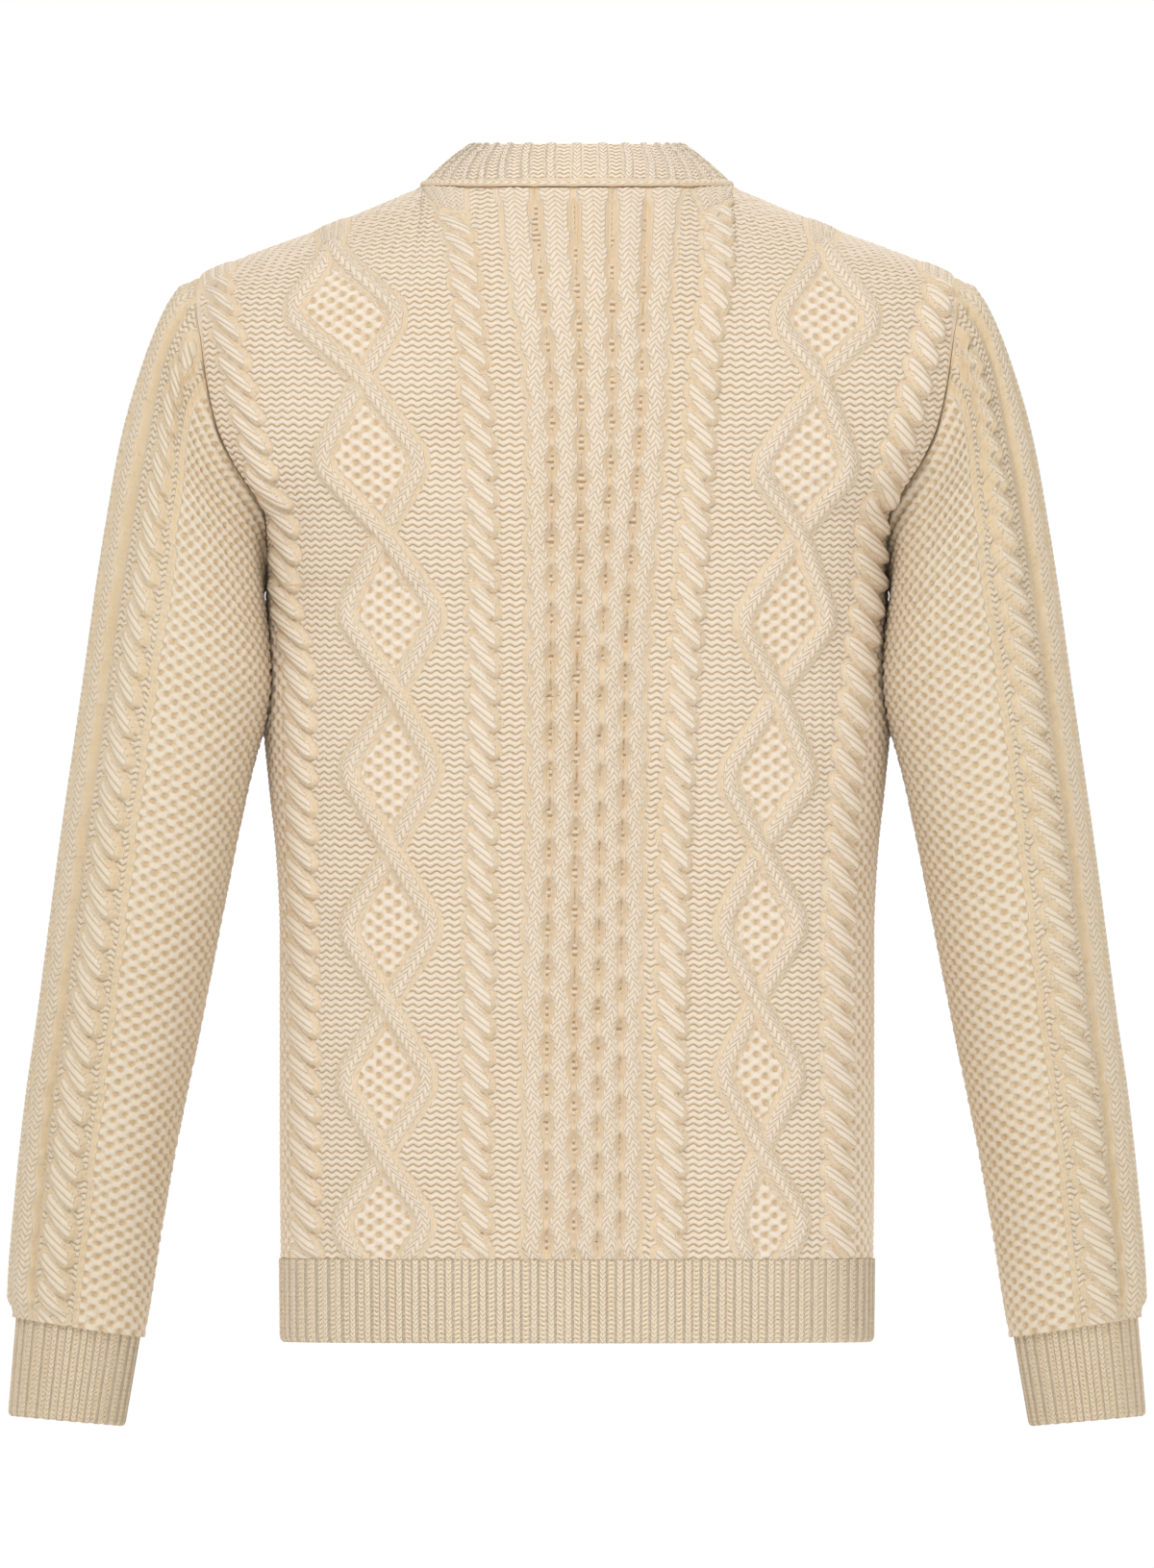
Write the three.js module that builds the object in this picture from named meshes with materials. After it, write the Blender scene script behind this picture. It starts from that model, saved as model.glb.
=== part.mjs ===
// Cable knit sweater, filled out as it is worn, with open neck, armholes, cuffs and hem.
// Millimetres, +Z up, +Y towards the back and +X towards the wearer's left. The origin is
// the middle of the neck opening, level with the back neck seam.
// Each knitted piece is a thin wall: its inner side is plain, and its cables, diamonds and
// ribs are raised in its outer points. Neighbouring pieces are a seam gap apart.

import * as THREE from 'three';

// Driving dimensions
const wall = 3; // thickness of the plain purl ground
const seamGap = 0.3;
const neckHalfWidth = 88;
const neckDropFront = 80;
const shoulderHalfWidth = 216;
const shoulderPoint = -51.2; // height of the end of the shoulder seam
const underarm = -228;
const hemTop = -612;
const hemBottom = -660;
const fanStart = -112; // above this height the rows fan out to the shoulder and neck

// Relief of the patterns over the ground, and their pitches along and across the fabric
const ropeRelief = 5;
const ropeHalfWidth = 8;
const ropeCrossing = 15.9;
const ropeSway = 2.4;
const waveRelief = 4;
const waveHalfPeriod = 11.15;
const waveSway = 2;
const diamondRelief = 3.6;
const diamondHalfStrand = 7.5;
const mossRelief = 1;
const diamondMossShares = [0.3, 0.7]; // lines inside a diamond, between its two strands
const sideMossShares = [0.3, 0.55, 0.8]; // lines between an outer rope and the side
const waveFoot = 9; // from the middle of an outermost wave to its foot
const plainPitch = 22;
const innerPitch = 38; // on the plain inner side, where it is nearly flat

// Ribbed edges
const hemRibs = 46; // on each half of the hem
const hemRibRelief = 2;
const cuffRibs = 26;
const cuffRibRelief = 1.8;
const neckRibs = 38;
const neckRibRelief = 2;
const hemInnerLines = 14; // lines of the plain inner sides
const cuffInnerLines = 20;
const neckInnerLines = 28;

const wool = new THREE.Color('#e3d6ba');

const { smoothstep, lerp, degToRad, radToDeg } = THREE.MathUtils;

// A smooth function through keys and values that never overshoots them (monotone cubic).
function smoothThrough(keys, values) {
  const steps = keys.slice(1).map((key, i) => key - keys[i]);
  const slopes = steps.map((step, i) => (values[i + 1] - values[i]) / step);
  const tangents = values.map((_, i) => {
    const before = slopes[Math.max(0, i - 1)];
    const after = slopes[Math.min(i, slopes.length - 1)];
    return before * after <= 0 ? 0 : (2 * before * after) / (before + after);
  });
  return (key) => {
    if (key <= keys[0]) return values[0];
    const i = Math.min(keys.findIndex((k) => k > key) - 1, steps.length - 1);
    if (i < 0) return values.at(-1);
    const t = (key - keys[i]) / steps[i];
    const rise = values[i + 1] - values[i];
    const bend = steps[i] * (tangents[i] + tangents[i + 1]) - 2 * rise;
    const start = steps[i] * tangents[i];
    return values[i] + t * (start + t * (rise - start - bend + t * bend));
  };
}

// A table with named columns, as one smooth function of its first column for each other one.
function table(names, rows) {
  const sorted = [...rows].sort((a, b) => a[0] - b[0]);
  const keys = sorted.map((row) => row[0]);
  return Object.fromEntries(
    names.slice(1).map((name, i) => [name, smoothThrough(keys, sorted.map((row) => row[i + 1]))]),
  );
}

// Sections of the body from the neck seam down to the hem. Squareness 2 is an ellipse.
const body = table(['height', 'halfWidth', 'back', 'front', 'squareness'], [
  [0, neckHalfWidth, 58, 34, 2],
  [-13.2, 119.4, 68, 42, 1.9],
  [-25.9, 151, 77, 50, 1.8],
  [-37.4, 182.6, 85, 56, 1.75],
  [-45.7, 203.5, 90, 61, 1.72],
  [shoulderPoint, shoulderHalfWidth, 93, 64, 1.7],
  [-58, 228, 95, 68, 1.75],
  [-67, 236, 97, 75, 1.85],
  [-80, 237, 100, 83, 2],
  [fanStart, 231, 106, 100, 2.3],
  [-137, 224, 109, 109, 2.4],
  [-157, 211, 111, 115, 2.4],
  [-174, 195.5, 112, 119, 2.4],
  [-186.5, 183.5, 113, 122, 2.4],
  [-210, 178, 113, 126, 2.4],
  [underarm, 177, 113, 128, 2.4],
  [-298, 178.7, 106, 123, 2.4],
  [-339, 175.5, 101, 119, 2.4],
  [-383, 171, 98, 116, 2.4],
  [-427, 169, 98, 114, 2.4],
  [-553, 169, 103, 113, 2.4],
  [hemTop, 168.5, 105, 112, 2.4],
  [hemBottom, 168, 103, 108, 2.4],
]);

// The armhole seam on the back, from the underarm up to the shoulder point.
const armholeRows = [
  [underarm, 177],
  [-219, 176.6],
  [-210, 176.5],
  [-198, 177],
  [-186.5, 178.5],
  [-174, 186],
  [-157, 197],
  [-137, 206],
  [fanStart, 211.7],
  [-88, 215],
  [-70, 217.4],
  [-58, 217.4],
  [shoulderPoint, shoulderHalfWidth],
];
const armhole = table(['height', 'x'], armholeRows);
const frontScoop = 6; // the front armhole is cut this much deeper

// Wave columns of the middle panel, from left to right as seen from behind.
const waves = [
  [[0, 43], [-34, 30], [-65, 27], [-129, 22.3], [-278, 22.3], [-490, 25]],
  [[0, 20], [-34, 12], [-129, 6.2], [-278, 7.6], [-490, 9.7]],
  [[0, -9], [-34, -12], [-129, -11.4], [-278, -7.9], [-490, -5.5]],
  [[0, -34], [-34, -31], [-129, -28.2], [-278, -20.5], [-490, -18.2]],
  [[0, -55], [-34, -50], [-65, -47], [-129, -44.3], [-278, -34.5], [-490, -30.8]],
].map((rows) => table(['height', 'x'], rows));

// Rope cables: an inner pair beside the waves and an outer pair near the sides.
const ropes = {
  innerLeft: table(
    ['height', 'x'],
    [[0, 77], [-36, 66], [-74, 62], [-168, 55], [-278, 53.4], [-388, 55], [-553, 57.8]],
  ),
  innerRight: table(
    ['height', 'x'],
    [[0, -79], [-48, -80], [-91, -73], [-157, -68.8], [-278, -60.5], [-388, -55], [-553, -52.3]],
  ),
  outerLeft: table(
    ['height', 'x'],
    [[-52, 206], [-113, 192.5], [-168, 178.8], [-245, 165], [-278, 158.4], [-388, 156.8], [-602, 154]],
  ),
  outerRight: table(
    ['height', 'x'],
    [
      [-58, -206], [-113, -192.5], [-162, -178.8], [-223, -167],
      [-278, -159.5], [-360, -151.3], [-470, -147.4], [-580, -148.5],
    ],
  ),
};

// Diamond chains: height and x where the strands cross, and the height, the greater x and the
// lesser x of the corners between the crossings.
const diamondLeft = {
  crossings: [
    [-20, 141], [-37, 140], [-110, 122], [-198, 110], [-289, 103],
    [-379, 105.5], [-467, 108], [-553, 110], [-636, 112],
  ],
  corners: [
    [-73, 165, 99], [-157, 147.5, 87.5], [-244, 133, 78], [-333, 132, 80],
    [-423, 132, 80], [-510, 133.5, 82.5], [-592, 136, 84],
  ],
};
const diamondRight = {
  crossings: [
    [-20, -141], [-37, -140], [-110, -138.6], [-198, -126.5], [-289, -114.4],
    [-377, -104.5], [-465, -102], [-550, -104.5], [-636, -106],
  ],
  corners: [
    [-77, -113, -171.6], [-161, -102, -156.8], [-248, -92.4, -144], [-337, -83.6, -133],
    [-422, -81.4, -127.6], [-506, -81.4, -126.5], [-590, -89, -129],
  ],
};
const crossingHalfGap = 4.5; // between the middles of two strands where they cross
const neckPointFade = -45; // a line bends to the neck point above this height
const keyStep = 1e-4; // puts an inner point just before the outer point beside it
const ropeEdgeMargin = 10; // least distance of an outer rope's middle from the armhole seam

// The share of the full depth that the body's outline has at x, and the x of such a share.
function depthShare(x, z) {
  const n = body.squareness(z);
  return (1 - Math.min(1, Math.abs(x) / body.halfWidth(z)) ** n) ** (1 / n);
}

function widthOfShare(share, z) {
  const n = body.squareness(z);
  return body.halfWidth(z) * (1 - share ** n) ** (1 / n);
}

// The ground surface of the back (side 1) or the front (side -1), and its outward normal.
function bodyPoint(side, x, z) {
  const depth = side > 0 ? body.back(z) : body.front(z);
  return new THREE.Vector3(x, side * (seamGap / 2 + depth * depthShare(x, z)), z);
}

function bodyNormal(side, x, z) {
  const depthAt = side > 0 ? body.back : body.front;
  const y = depthAt(z) * depthShare(x, z);
  const field = (h) => {
    const n = body.squareness(h);
    return (Math.abs(x) / body.halfWidth(h)) ** n + (y / depthAt(h)) ** n;
  };
  const n = body.squareness(z);
  return new THREE.Vector3(
    (Math.sign(x) * n * Math.abs(x) ** (n - 1)) / body.halfWidth(z) ** n,
    (side * n * y ** (n - 1)) / depthAt(z) ** n,
    field(z) - field(z - 1),
  ).normalize();
}

// The height of the shoulder seam or the neck seam at x.
function topSeam(side, x) {
  const reach = Math.abs(x);
  if (reach <= neckHalfWidth) {
    return side > 0 ? 0 : -neckDropFront * Math.sqrt(1 - (reach / neckHalfWidth) ** 2);
  }
  let [low, high] = [shoulderPoint, 0];
  for (let i = 0; i < 40; i++) {
    const middle = (low + high) / 2;
    if (body.halfWidth(middle) > reach) low = middle;
    else high = middle;
  }
  return high;
}

// Heights of the points of one knitted line, from the hem seam to the seam above it, each
// with a key that is the same on the neighbouring lines.
function climb(side, xAt, pitch) {
  let top = shoulderPoint;
  for (let i = 0; i < 60; i++) top = (top + topSeam(side, xAt(top))) / 2;
  const lower = Math.round((fanStart - hemTop) / pitch);
  const upper = Math.max(2, Math.round((top - fanStart) / pitch));
  const heights = [];
  for (let i = 0; i < lower; i++) {
    const z = lerp(hemTop, fanStart, i / lower);
    heights.push({ z, key: z });
  }
  for (let i = 0; i <= upper; i++) {
    heights.push({ z: lerp(fanStart, top, i / upper), key: lerp(fanStart, 0, i / upper) });
  }
  return heights;
}

// Heights along the side seam and up the armhole seam.
function climbEdge(pitch) {
  const lower = Math.round((underarm - hemTop) / pitch);
  const heights = [];
  for (let i = 0; i < lower; i++) heights.push(lerp(hemTop, underarm, i / lower));
  heights.push(...armholeRows.map((row) => row[0]));
  return heights.map((z) => ({
    z,
    key: z < fanStart ? z : (fanStart * (z - shoulderPoint)) / (fanStart - shoulderPoint),
  }));
}

// The side seam below the underarm and the armhole seam above it.
function edgeX(side, z) {
  if (z <= underarm) return body.halfWidth(z);
  const share = (z - underarm) / (shoulderPoint - underarm);
  const scoop = side > 0 ? 0 : frontScoop * Math.sin(Math.PI * share);
  return armhole.x(z) - scoop;
}

// A straight zigzag through the crossings and corners of a diamond chain, for the strand on
// its greater-x side (pick 1) or on its lesser-x side (pick 2).
function zigzag(chain, pick) {
  const sign = pick === 1 ? 1 : -1;
  const knots = [
    ...chain.crossings.map(([z, x]) => [z, x + sign * crossingHalfGap]),
    ...chain.corners.map((row) => [row[0], row[pick]]),
  ].sort((a, b) => a[0] - b[0]);
  return (z) => {
    const i = Math.max(1, knots.findIndex((knot) => knot[0] > z));
    const [[z0, x0], [z1, x1]] = z >= knots.at(-1)[0] ? knots.slice(-2) : [knots[i - 1], knots[i]];
    return lerp(x0, x1, THREE.MathUtils.clamp((z - z0) / (z1 - z0), 0, 1));
  };
}

// The heights of a strand's knots, which a line that follows it needs as points.
function knotHeights(chain) {
  const heights = [...chain.crossings, ...chain.corners].map((row) => row[0]);
  return heights.filter((z) => z > hemTop && z < fanStart);
}

// The knitted lines of one panel, from the greater-x edge to the lesser-x edge, in the order
// of the back. Each has its x at a height, its pitch, and what its points are raised by. The
// lines with an inside pitch are on the plain inner side of the wall too.
function panelPlan(side) {
  const plan = [];
  const line = (x, more = {}) => plan.push({ x, pitch: plainPitch, relief: 0, sway: 0, ...more });
  const edge = (sign) => line((z) => sign * edgeX(side, z), { isEdge: true, inside: plainPitch });
  const between = (a, b, t) => (z) => lerp(a(z), b(z), t);
  const offset = (x, by) => (z) => x(z) + by;

  const rope = (x, inside) => {
    line(offset(x, ropeHalfWidth), { pitch: ropeCrossing, inside });
    line(x, { pitch: ropeCrossing / 2, relief: ropeRelief, sway: ropeSway });
    line(offset(x, -ropeHalfWidth), { pitch: ropeCrossing, inside });
  };
  const diamond = (chain) => {
    const greater = zigzag(chain, 1);
    const lesser = zigzag(chain, 2);
    const knots = knotHeights(chain);
    line(offset(greater, diamondHalfStrand), { knots });
    line(greater, { relief: diamondRelief, knots });
    line(between(greater, lesser, diamondMossShares[0]), { relief: mossRelief, knots, inside: plainPitch });
    line(between(greater, lesser, diamondMossShares[1]), { relief: mossRelief, knots });
    line(lesser, { relief: diamondRelief, knots });
    line(offset(lesser, -diamondHalfStrand), { knots });
  };
  // Moss stitch between an outer rope and the edge, spaced by depth because the side is steep.
  const moss = (rope, sign, shares) => {
    const foot = offset(rope, sign * ropeHalfWidth);
    shares.forEach((share) => line((z) => {
      const near = depthShare(foot(z), z);
      const far = depthShare(edgeX(side, z), z);
      return sign * widthOfShare(lerp(near, far, share), z);
    }, { inside: plainPitch }));
  };
  // A line down from the neck point, half way between the inner rope and the diamonds.
  const neckPointLine = (rope, chain, sign, pick) => {
    const strand = zigzag(chain, pick);
    line((z) => {
      const middle = (rope(z) + sign * ropeHalfWidth + strand(z) - sign * diamondHalfStrand) / 2;
      return lerp(middle, sign * neckHalfWidth, smoothstep(z, neckPointFade, 0));
    }, { inside: innerPitch });
  };

  // An outer rope runs beside the armhole seam where the seam curves in to it.
  const besideSeam = (rope, sign) => (z) => {
    const reach = Math.min(sign * rope.x(z), edgeX(side, z) - ropeEdgeMargin);
    return sign * reach;
  };
  const outerLeft = besideSeam(ropes.outerLeft, 1);
  const outerRight = besideSeam(ropes.outerRight, -1);

  edge(1);
  moss(outerLeft, 1, [...sideMossShares].reverse());
  rope(outerLeft, plainPitch);
  diamond(diamondLeft);
  neckPointLine(ropes.innerLeft.x, diamondLeft, 1, 2);
  rope(ropes.innerLeft.x, innerPitch);
  const waveX = waves.map((wave) => wave.x);
  line(offset(waveX[0], waveFoot));
  waveX.forEach((x, i) => {
    const sway = i % 2 ? waveSway : -waveSway;
    line(x, { pitch: waveHalfPeriod, relief: waveRelief, sway, inside: i % 2 ? 0 : innerPitch });
    if (i < waves.length - 1) line(between(x, waveX[i + 1], 0.5));
  });
  line(offset(waveX.at(-1), -waveFoot));
  rope(ropes.innerRight.x, innerPitch);
  neckPointLine(ropes.innerRight.x, diamondRight, -1, 1);
  diamond(diamondRight);
  rope(outerRight, plainPitch);
  moss(outerRight, -1, sideMossShares);
  edge(-1);
  return plan;
}

// The front is knitted like the back, so seen from outside it has the same order of cables.
function planOf(side) {
  const plan = panelPlan(side);
  if (side > 0) return plan;
  return plan.reverse().map((item) => ({ ...item, x: (z) => -item.x(z), sway: -item.sway }));
}

function panelPoint(side, x, z, raise) {
  return bodyPoint(side, x, z).addScaledVector(bodyNormal(side, x, z), raise);
}

function outerPanelLine(side, item, order) {
  let heights = item.isEdge ? climbEdge(plainPitch) : climb(side, item.x, item.pitch);
  if (item.knots) {
    const far = heights.filter(({ z }) => item.knots.every((knot) => Math.abs(knot - z) > plainPitch / 2));
    heights = [...far, ...item.knots.map((z) => ({ z, key: z }))].sort((a, b) => a.key - b.key);
    heights[0] = { z: hemTop, key: hemTop };
  }
  const last = heights.length - 1;
  const points = heights.map(({ z }, i) => {
    const atSeam = i === 0 || i === last;
    const sway = atSeam ? 0 : item.sway * (i % 2 ? 1 : -1);
    return panelPoint(side, item.x(z) + sway, z, atSeam ? 0 : item.relief);
  });
  return { key: order, points, keys: heights.map((row) => row.key), side, item, heights };
}

// The plain inner side has only every few lines, and always those of the edges and corners.
// Its keys come just before the outer ones, so both walls at a seam are faceted alike.
function innerPanelLine(side, item, order) {
  const heights = item.isEdge ? climbEdge(plainPitch) : climb(side, item.x, item.inside);
  const points = heights.map(({ z }) => panelPoint(side, item.x(z), z, -wall));
  const keys = heights.map((row) => row.key - keyStep);
  return { key: order - keyStep, points, keys, side, item, heights };
}

// Joins two rows of points with triangles, going up both rows by their keys.
function zip(rowA, rowB, triangles) {
  let [i, j] = [0, 0];
  while (i < rowA.length - 1 || j < rowB.length - 1) {
    const atEndB = j === rowB.length - 1;
    const stepA = atEndB || (i < rowA.length - 1 && rowA[i + 1].key <= rowB[j + 1].key);
    if (stepA) {
      triangles.push(rowA[i].index, rowB[j].index, rowA[i + 1].index);
      i++;
    } else {
      triangles.push(rowA[i].index, rowB[j].index, rowB[j + 1].index);
      j++;
    }
  }
}

// A closed wall between an outer and an inner sheet of lines. On a tube the lines go all
// round. The root is a ring of its own before the lines start, shared with a neighbour.
function closedWall({ outer, inner, period = 0, root = null }) {
  const vertices = [];
  const triangles = [];
  const place = (point, key) => ({ index: vertices.push(point) - 1, key });
  const placeLines = (lines) => lines.map((line) => ({
    key: line.key,
    row: line.points.map((point, i) => place(point, line.keys[i])),
  }));
  const close = (row) => (period ? [...row, { index: row[0].index, key: row[0].key + period }] : row);
  const endOf = (line, end) => ({ index: line.row.at(end).index, key: line.key });
  const endRow = (lines, end) => close(lines.map((line) => endOf(line, end)));
  const ringRow = (ring) => close(ring.map(({ point, key }) => place(point, key)));
  const sheet = (lines, join) => {
    for (let i = 0; i < lines.length - 1; i++) join(lines[i].row, lines[i + 1].row);
    if (period) join(lines.at(-1).row, lines[0].row);
  };

  const outside = placeLines(outer);
  const inside = placeLines(inner);
  sheet(outside, (a, b) => zip(a, b, triangles));
  sheet(inside, (a, b) => zip(b, a, triangles));
  if (root) {
    const rootOuter = ringRow(root.outer);
    const rootInner = ringRow(root.inner);
    zip(endRow(outside, 0), rootOuter, triangles);
    zip(rootOuter, rootInner, triangles);
    zip(rootInner, endRow(inside, 0), triangles);
  } else {
    zip(endRow(outside, 0), endRow(inside, 0), triangles);
  }
  zip(endRow(inside, -1), endRow(outside, -1), triangles);
  if (!period) {
    zip(inside[0].row, outside[0].row, triangles);
    zip(outside.at(-1).row, inside.at(-1).row, triangles);
  }
  return outwardGeometry(vertices, triangles);
}

// A geometry whose faces point out, whichever way its lines were ordered.
function outwardGeometry(vertices, triangles) {
  let volume = 0;
  for (let i = 0; i < triangles.length; i += 3) {
    const [a, b, c] = triangles.slice(i, i + 3).map((index) => vertices[index]);
    volume += a.dot(new THREE.Vector3().crossVectors(b, c));
  }
  if (volume < 0) {
    for (let i = 0; i < triangles.length; i += 3) {
      [triangles[i], triangles[i + 1]] = [triangles[i + 1], triangles[i]];
    }
  }
  const geometry = new THREE.BufferGeometry().setFromPoints(vertices);
  geometry.setIndex(triangles);
  geometry.computeVertexNormals();
  return geometry;
}

// Back and front panels
function panelSheets(side) {
  const plan = planOf(side);
  const outer = plan.map((item, order) => outerPanelLine(side, item, order));
  const inner = plan.flatMap((item, order) => (item.inside ? [innerPanelLine(side, item, order)] : []));
  return { outer, inner };
}

const back = panelSheets(1);
const front = panelSheets(-1);

// A ring of seam points moved a seam gap away from the piece that it belongs to. The rows
// hold the outer and the inner point of the wall's edge.
function pastSeam(rows, away) {
  return rows.map((row, i) => {
    const along = new THREE.Vector3().subVectors(
      rows[(i + 1) % rows.length].point,
      rows[(i + rows.length - 1) % rows.length].point,
    );
    const shift = new THREE.Vector3().crossVectors(along, row.normal).normalize();
    if (shift.dot(away(row)) < 0) shift.negate();
    return { ...row, point: row.point.clone().addScaledVector(shift, seamGap) };
  });
}

const midpoint = (a, b) => new THREE.Vector3().addVectors(a, b).multiplyScalar(0.5);

// Sleeves: rings between an outer and an inner line, from the armhole down to the cuff seam.
const sleeve = table(
  ['along', 'outerX', 'outerZ', 'innerX', 'innerZ', 'middleY', 'halfDepth'],
  [
    [0, shoulderHalfWidth, shoulderPoint, 177, underarm, 0, 52],
    [12, 224.5, -59.4, 179.5, -231.5, 1, 53],
    [27, 232.5, -72, 180, -237, 3, 55],
    [62, 245, -103.4, 177, -249, 8, 60],
    [107, 256.5, -143.6, 174, -264, 13, 64],
    [160, 266, -196.4, 173, -284, 17, 66],
    [196, 271.5, -232, 176.5, -301, 18, 66],
    [241, 277.5, -276, 184, -324, 18, 65],
    [294, 285, -328.4, 192.5, -360, 16, 62.5],
    [342, 291.8, -375.7, 200.5, -400, 12, 59.5],
    [375, 296.2, -409, 206.5, -431, 9, 57],
    [443, 305, -475.8, 219, -494, -4, 51.5],
    [490, 311.8, -522.5, 228, -537, -14, 47],
    [542, 317.4, -574, 237, -586, -27, 42.5],
    [597, 322, -628, 245.5, -639, -41, 38.5],
    [616, 322.6, -646.3, 248.8, -657.8, -45, 38],
  ],
);
const sleeveLength = 616;
const sleeveStart = 8; // the knitted lines start this far past the armhole seam
const seamFade = 110; // the armhole's own shape fades out over this length
const bodyClearance = 3.2; // between the ground surfaces of a sleeve and the body
const slopeStep = 3; // along and round a sleeve, to find which way its surface faces
const swayRadius = 45; // half the usual width of a sleeve, to turn a sway into an angle
const patternWidening = 0.17; // the cables take up more of the narrow end of a sleeve
const wideningStart = 150;

function ringPoint(along, angle) {
  const outerPoint = new THREE.Vector3(sleeve.outerX(along), 0, sleeve.outerZ(along));
  const innerPoint = new THREE.Vector3(sleeve.innerX(along), 0, sleeve.innerZ(along));
  const centre = midpoint(outerPoint, innerPoint);
  centre.addScaledVector(outerPoint.sub(innerPoint), 0.5 * Math.cos(degToRad(angle)));
  centre.y = sleeve.middleY(along) + sleeve.halfDepth(along) * Math.sin(degToRad(angle));
  return centre;
}

// The angle round the first ring at which an armhole seam point lies: 0 at the shoulder,
// 90 at the back, 180 at the underarm.
function ringAngle(point) {
  const centre = midpoint(ringPoint(0, 0), ringPoint(0, 180));
  const out = ringPoint(0, 0).sub(centre);
  const share = point.clone().sub(centre).dot(out) / out.lengthSq();
  return radToDeg(Math.atan2(point.y / sleeve.halfDepth(0), share));
}

// The armhole seam of the left side: the back's edge from shoulder to underarm, then the
// front's edge back up, with one shared point at the shoulder and one at the underarm.
function armholeLoop(raise) {
  const rowsOf = (sheets) => {
    const edge = sheets.inner[0].heights.filter(({ z }) => z >= underarm).map(({ z }) => z);
    const side = sheets.inner[0].side;
    return edge.map((z) => ({
      point: panelPoint(side, edgeX(side, z), z, raise),
      seat: bodyPoint(side, edgeX(side, z), z),
      normal: bodyNormal(side, edgeX(side, z), z),
      keyShift: raise < 0 ? side * keyStep : 0,
    }));
  };
  const backRows = rowsOf(back);
  const frontRows = rowsOf(front);
  const join = (a, b) => {
    const point = midpoint(a.point, b.point);
    return { ...a, point, seat: midpoint(a.seat, b.seat), keyShift: 0 };
  };
  const rows = [
    join(backRows[0], frontRows[0]),
    ...frontRows.slice(1, -1),
    join(backRows.at(-1), frontRows.at(-1)),
    ...backRows.slice(1, -1).reverse(),
  ];
  return rows.map((row, i) => ({ ...row, key: (i === 0 ? -180 : ringAngle(row.seat)) + row.keyShift }));
}

const seamLoop = armholeLoop(0);

// How far the armhole seam lies from the plain first ring, at an angle.
function seamDrift(angle) {
  const keys = seamLoop.map((row) => row.key);
  const i = Math.max(0, keys.findLastIndex((key) => key <= angle));
  const next = (i + 1) % keys.length;
  const span = next ? keys[next] - keys[i] : 360 + keys[0] - keys[i];
  const drift = (row) => row.seat.clone().sub(ringPoint(0, row.key));
  const share = THREE.MathUtils.clamp((angle - keys[i]) / span, 0, 1);
  return drift(seamLoop[i]).lerp(drift(seamLoop[next]), share);
}

// The ground surface of the left sleeve, kept just clear of the body beside it.
function sleeveGround(along, angle) {
  const turned = ((((angle + 180) % 360) + 360) % 360) - 180;
  const point = ringPoint(along, turned);
  point.addScaledVector(seamDrift(turned), 1 - smoothstep(along, 0, seamFade));
  if (point.z < underarm) {
    const n = body.squareness(point.z);
    const clearance = bodyClearance * smoothstep(along, 0, 2 * sleeveStart);
    const depth = (point.y > 0 ? body.back(point.z) : body.front(point.z)) + clearance;
    const reach = (point.x / (body.halfWidth(point.z) + clearance)) ** n + (Math.abs(point.y) / depth) ** n;
    if (reach < 1) {
      point.x /= reach ** (1 / n);
      point.y /= reach ** (1 / n);
    }
  }
  return point;
}

function sleevePoint(along, angle, raise) {
  const down = sleeveGround(along + slopeStep, angle).sub(sleeveGround(along - slopeStep, angle));
  const round = sleeveGround(along, angle + slopeStep).sub(sleeveGround(along, angle - slopeStep));
  const normal = new THREE.Vector3().crossVectors(down, round).normalize();
  return sleeveGround(along, angle).addScaledVector(normal, raise);
}

// The sleeve's last ring is flat, so the wall's thickness stays in the plane of the cuff seam.
function sleeveEnd(angle, raise) {
  const point = ringPoint(sleeveLength, angle);
  const centre = midpoint(ringPoint(sleeveLength, 0), ringPoint(sleeveLength, 180));
  centre.y = sleeve.middleY(sleeveLength);
  return point.addScaledVector(point.clone().sub(centre).normalize(), raise);
}

// The lines of a sleeve. Waves run down its outside, a rope on each side of them, and moss
// stitch round the rest. The ropes move round as the sleeve narrows.
function sleevePlan() {
  const widening = (along) => 1 + patternWidening * smoothstep(along, wideningStart, sleeveLength);
  const half = [
    { angle: 12 },
    { angle: 24, pitch: waveHalfPeriod, relief: waveRelief, sway: -waveSway },
    { angle: 36 },
    { angle: 49, pitch: ropeCrossing },
    { angle: 58, pitch: ropeCrossing / 2, relief: ropeRelief, sway: ropeSway },
    { angle: 67, pitch: ropeCrossing },
    { angle: 88 },
    { angle: 110 },
    { angle: 133 },
    { angle: 157 },
  ];
  const whole = [
    ...half.map((item) => ({ ...item, angle: -item.angle })).reverse(),
    { angle: 0, pitch: waveHalfPeriod, relief: waveRelief, sway: waveSway },
    ...half,
    { angle: 180 },
  ];
  return whole.map((item) => ({ pitch: plainPitch, relief: 0, sway: 0, ...item, widening }));
}

// Angles up to the ropes widen down the sleeve, and the rest share what is left.
function sleeveAngle(item, along) {
  const rope = 67;
  const grown = rope * item.widening(along);
  const size = Math.abs(item.angle);
  const turned = size <= rope ? size * item.widening(along) : lerp(grown, 180, (size - rope) / (180 - rope));
  return Math.sign(item.angle) * turned;
}

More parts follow.
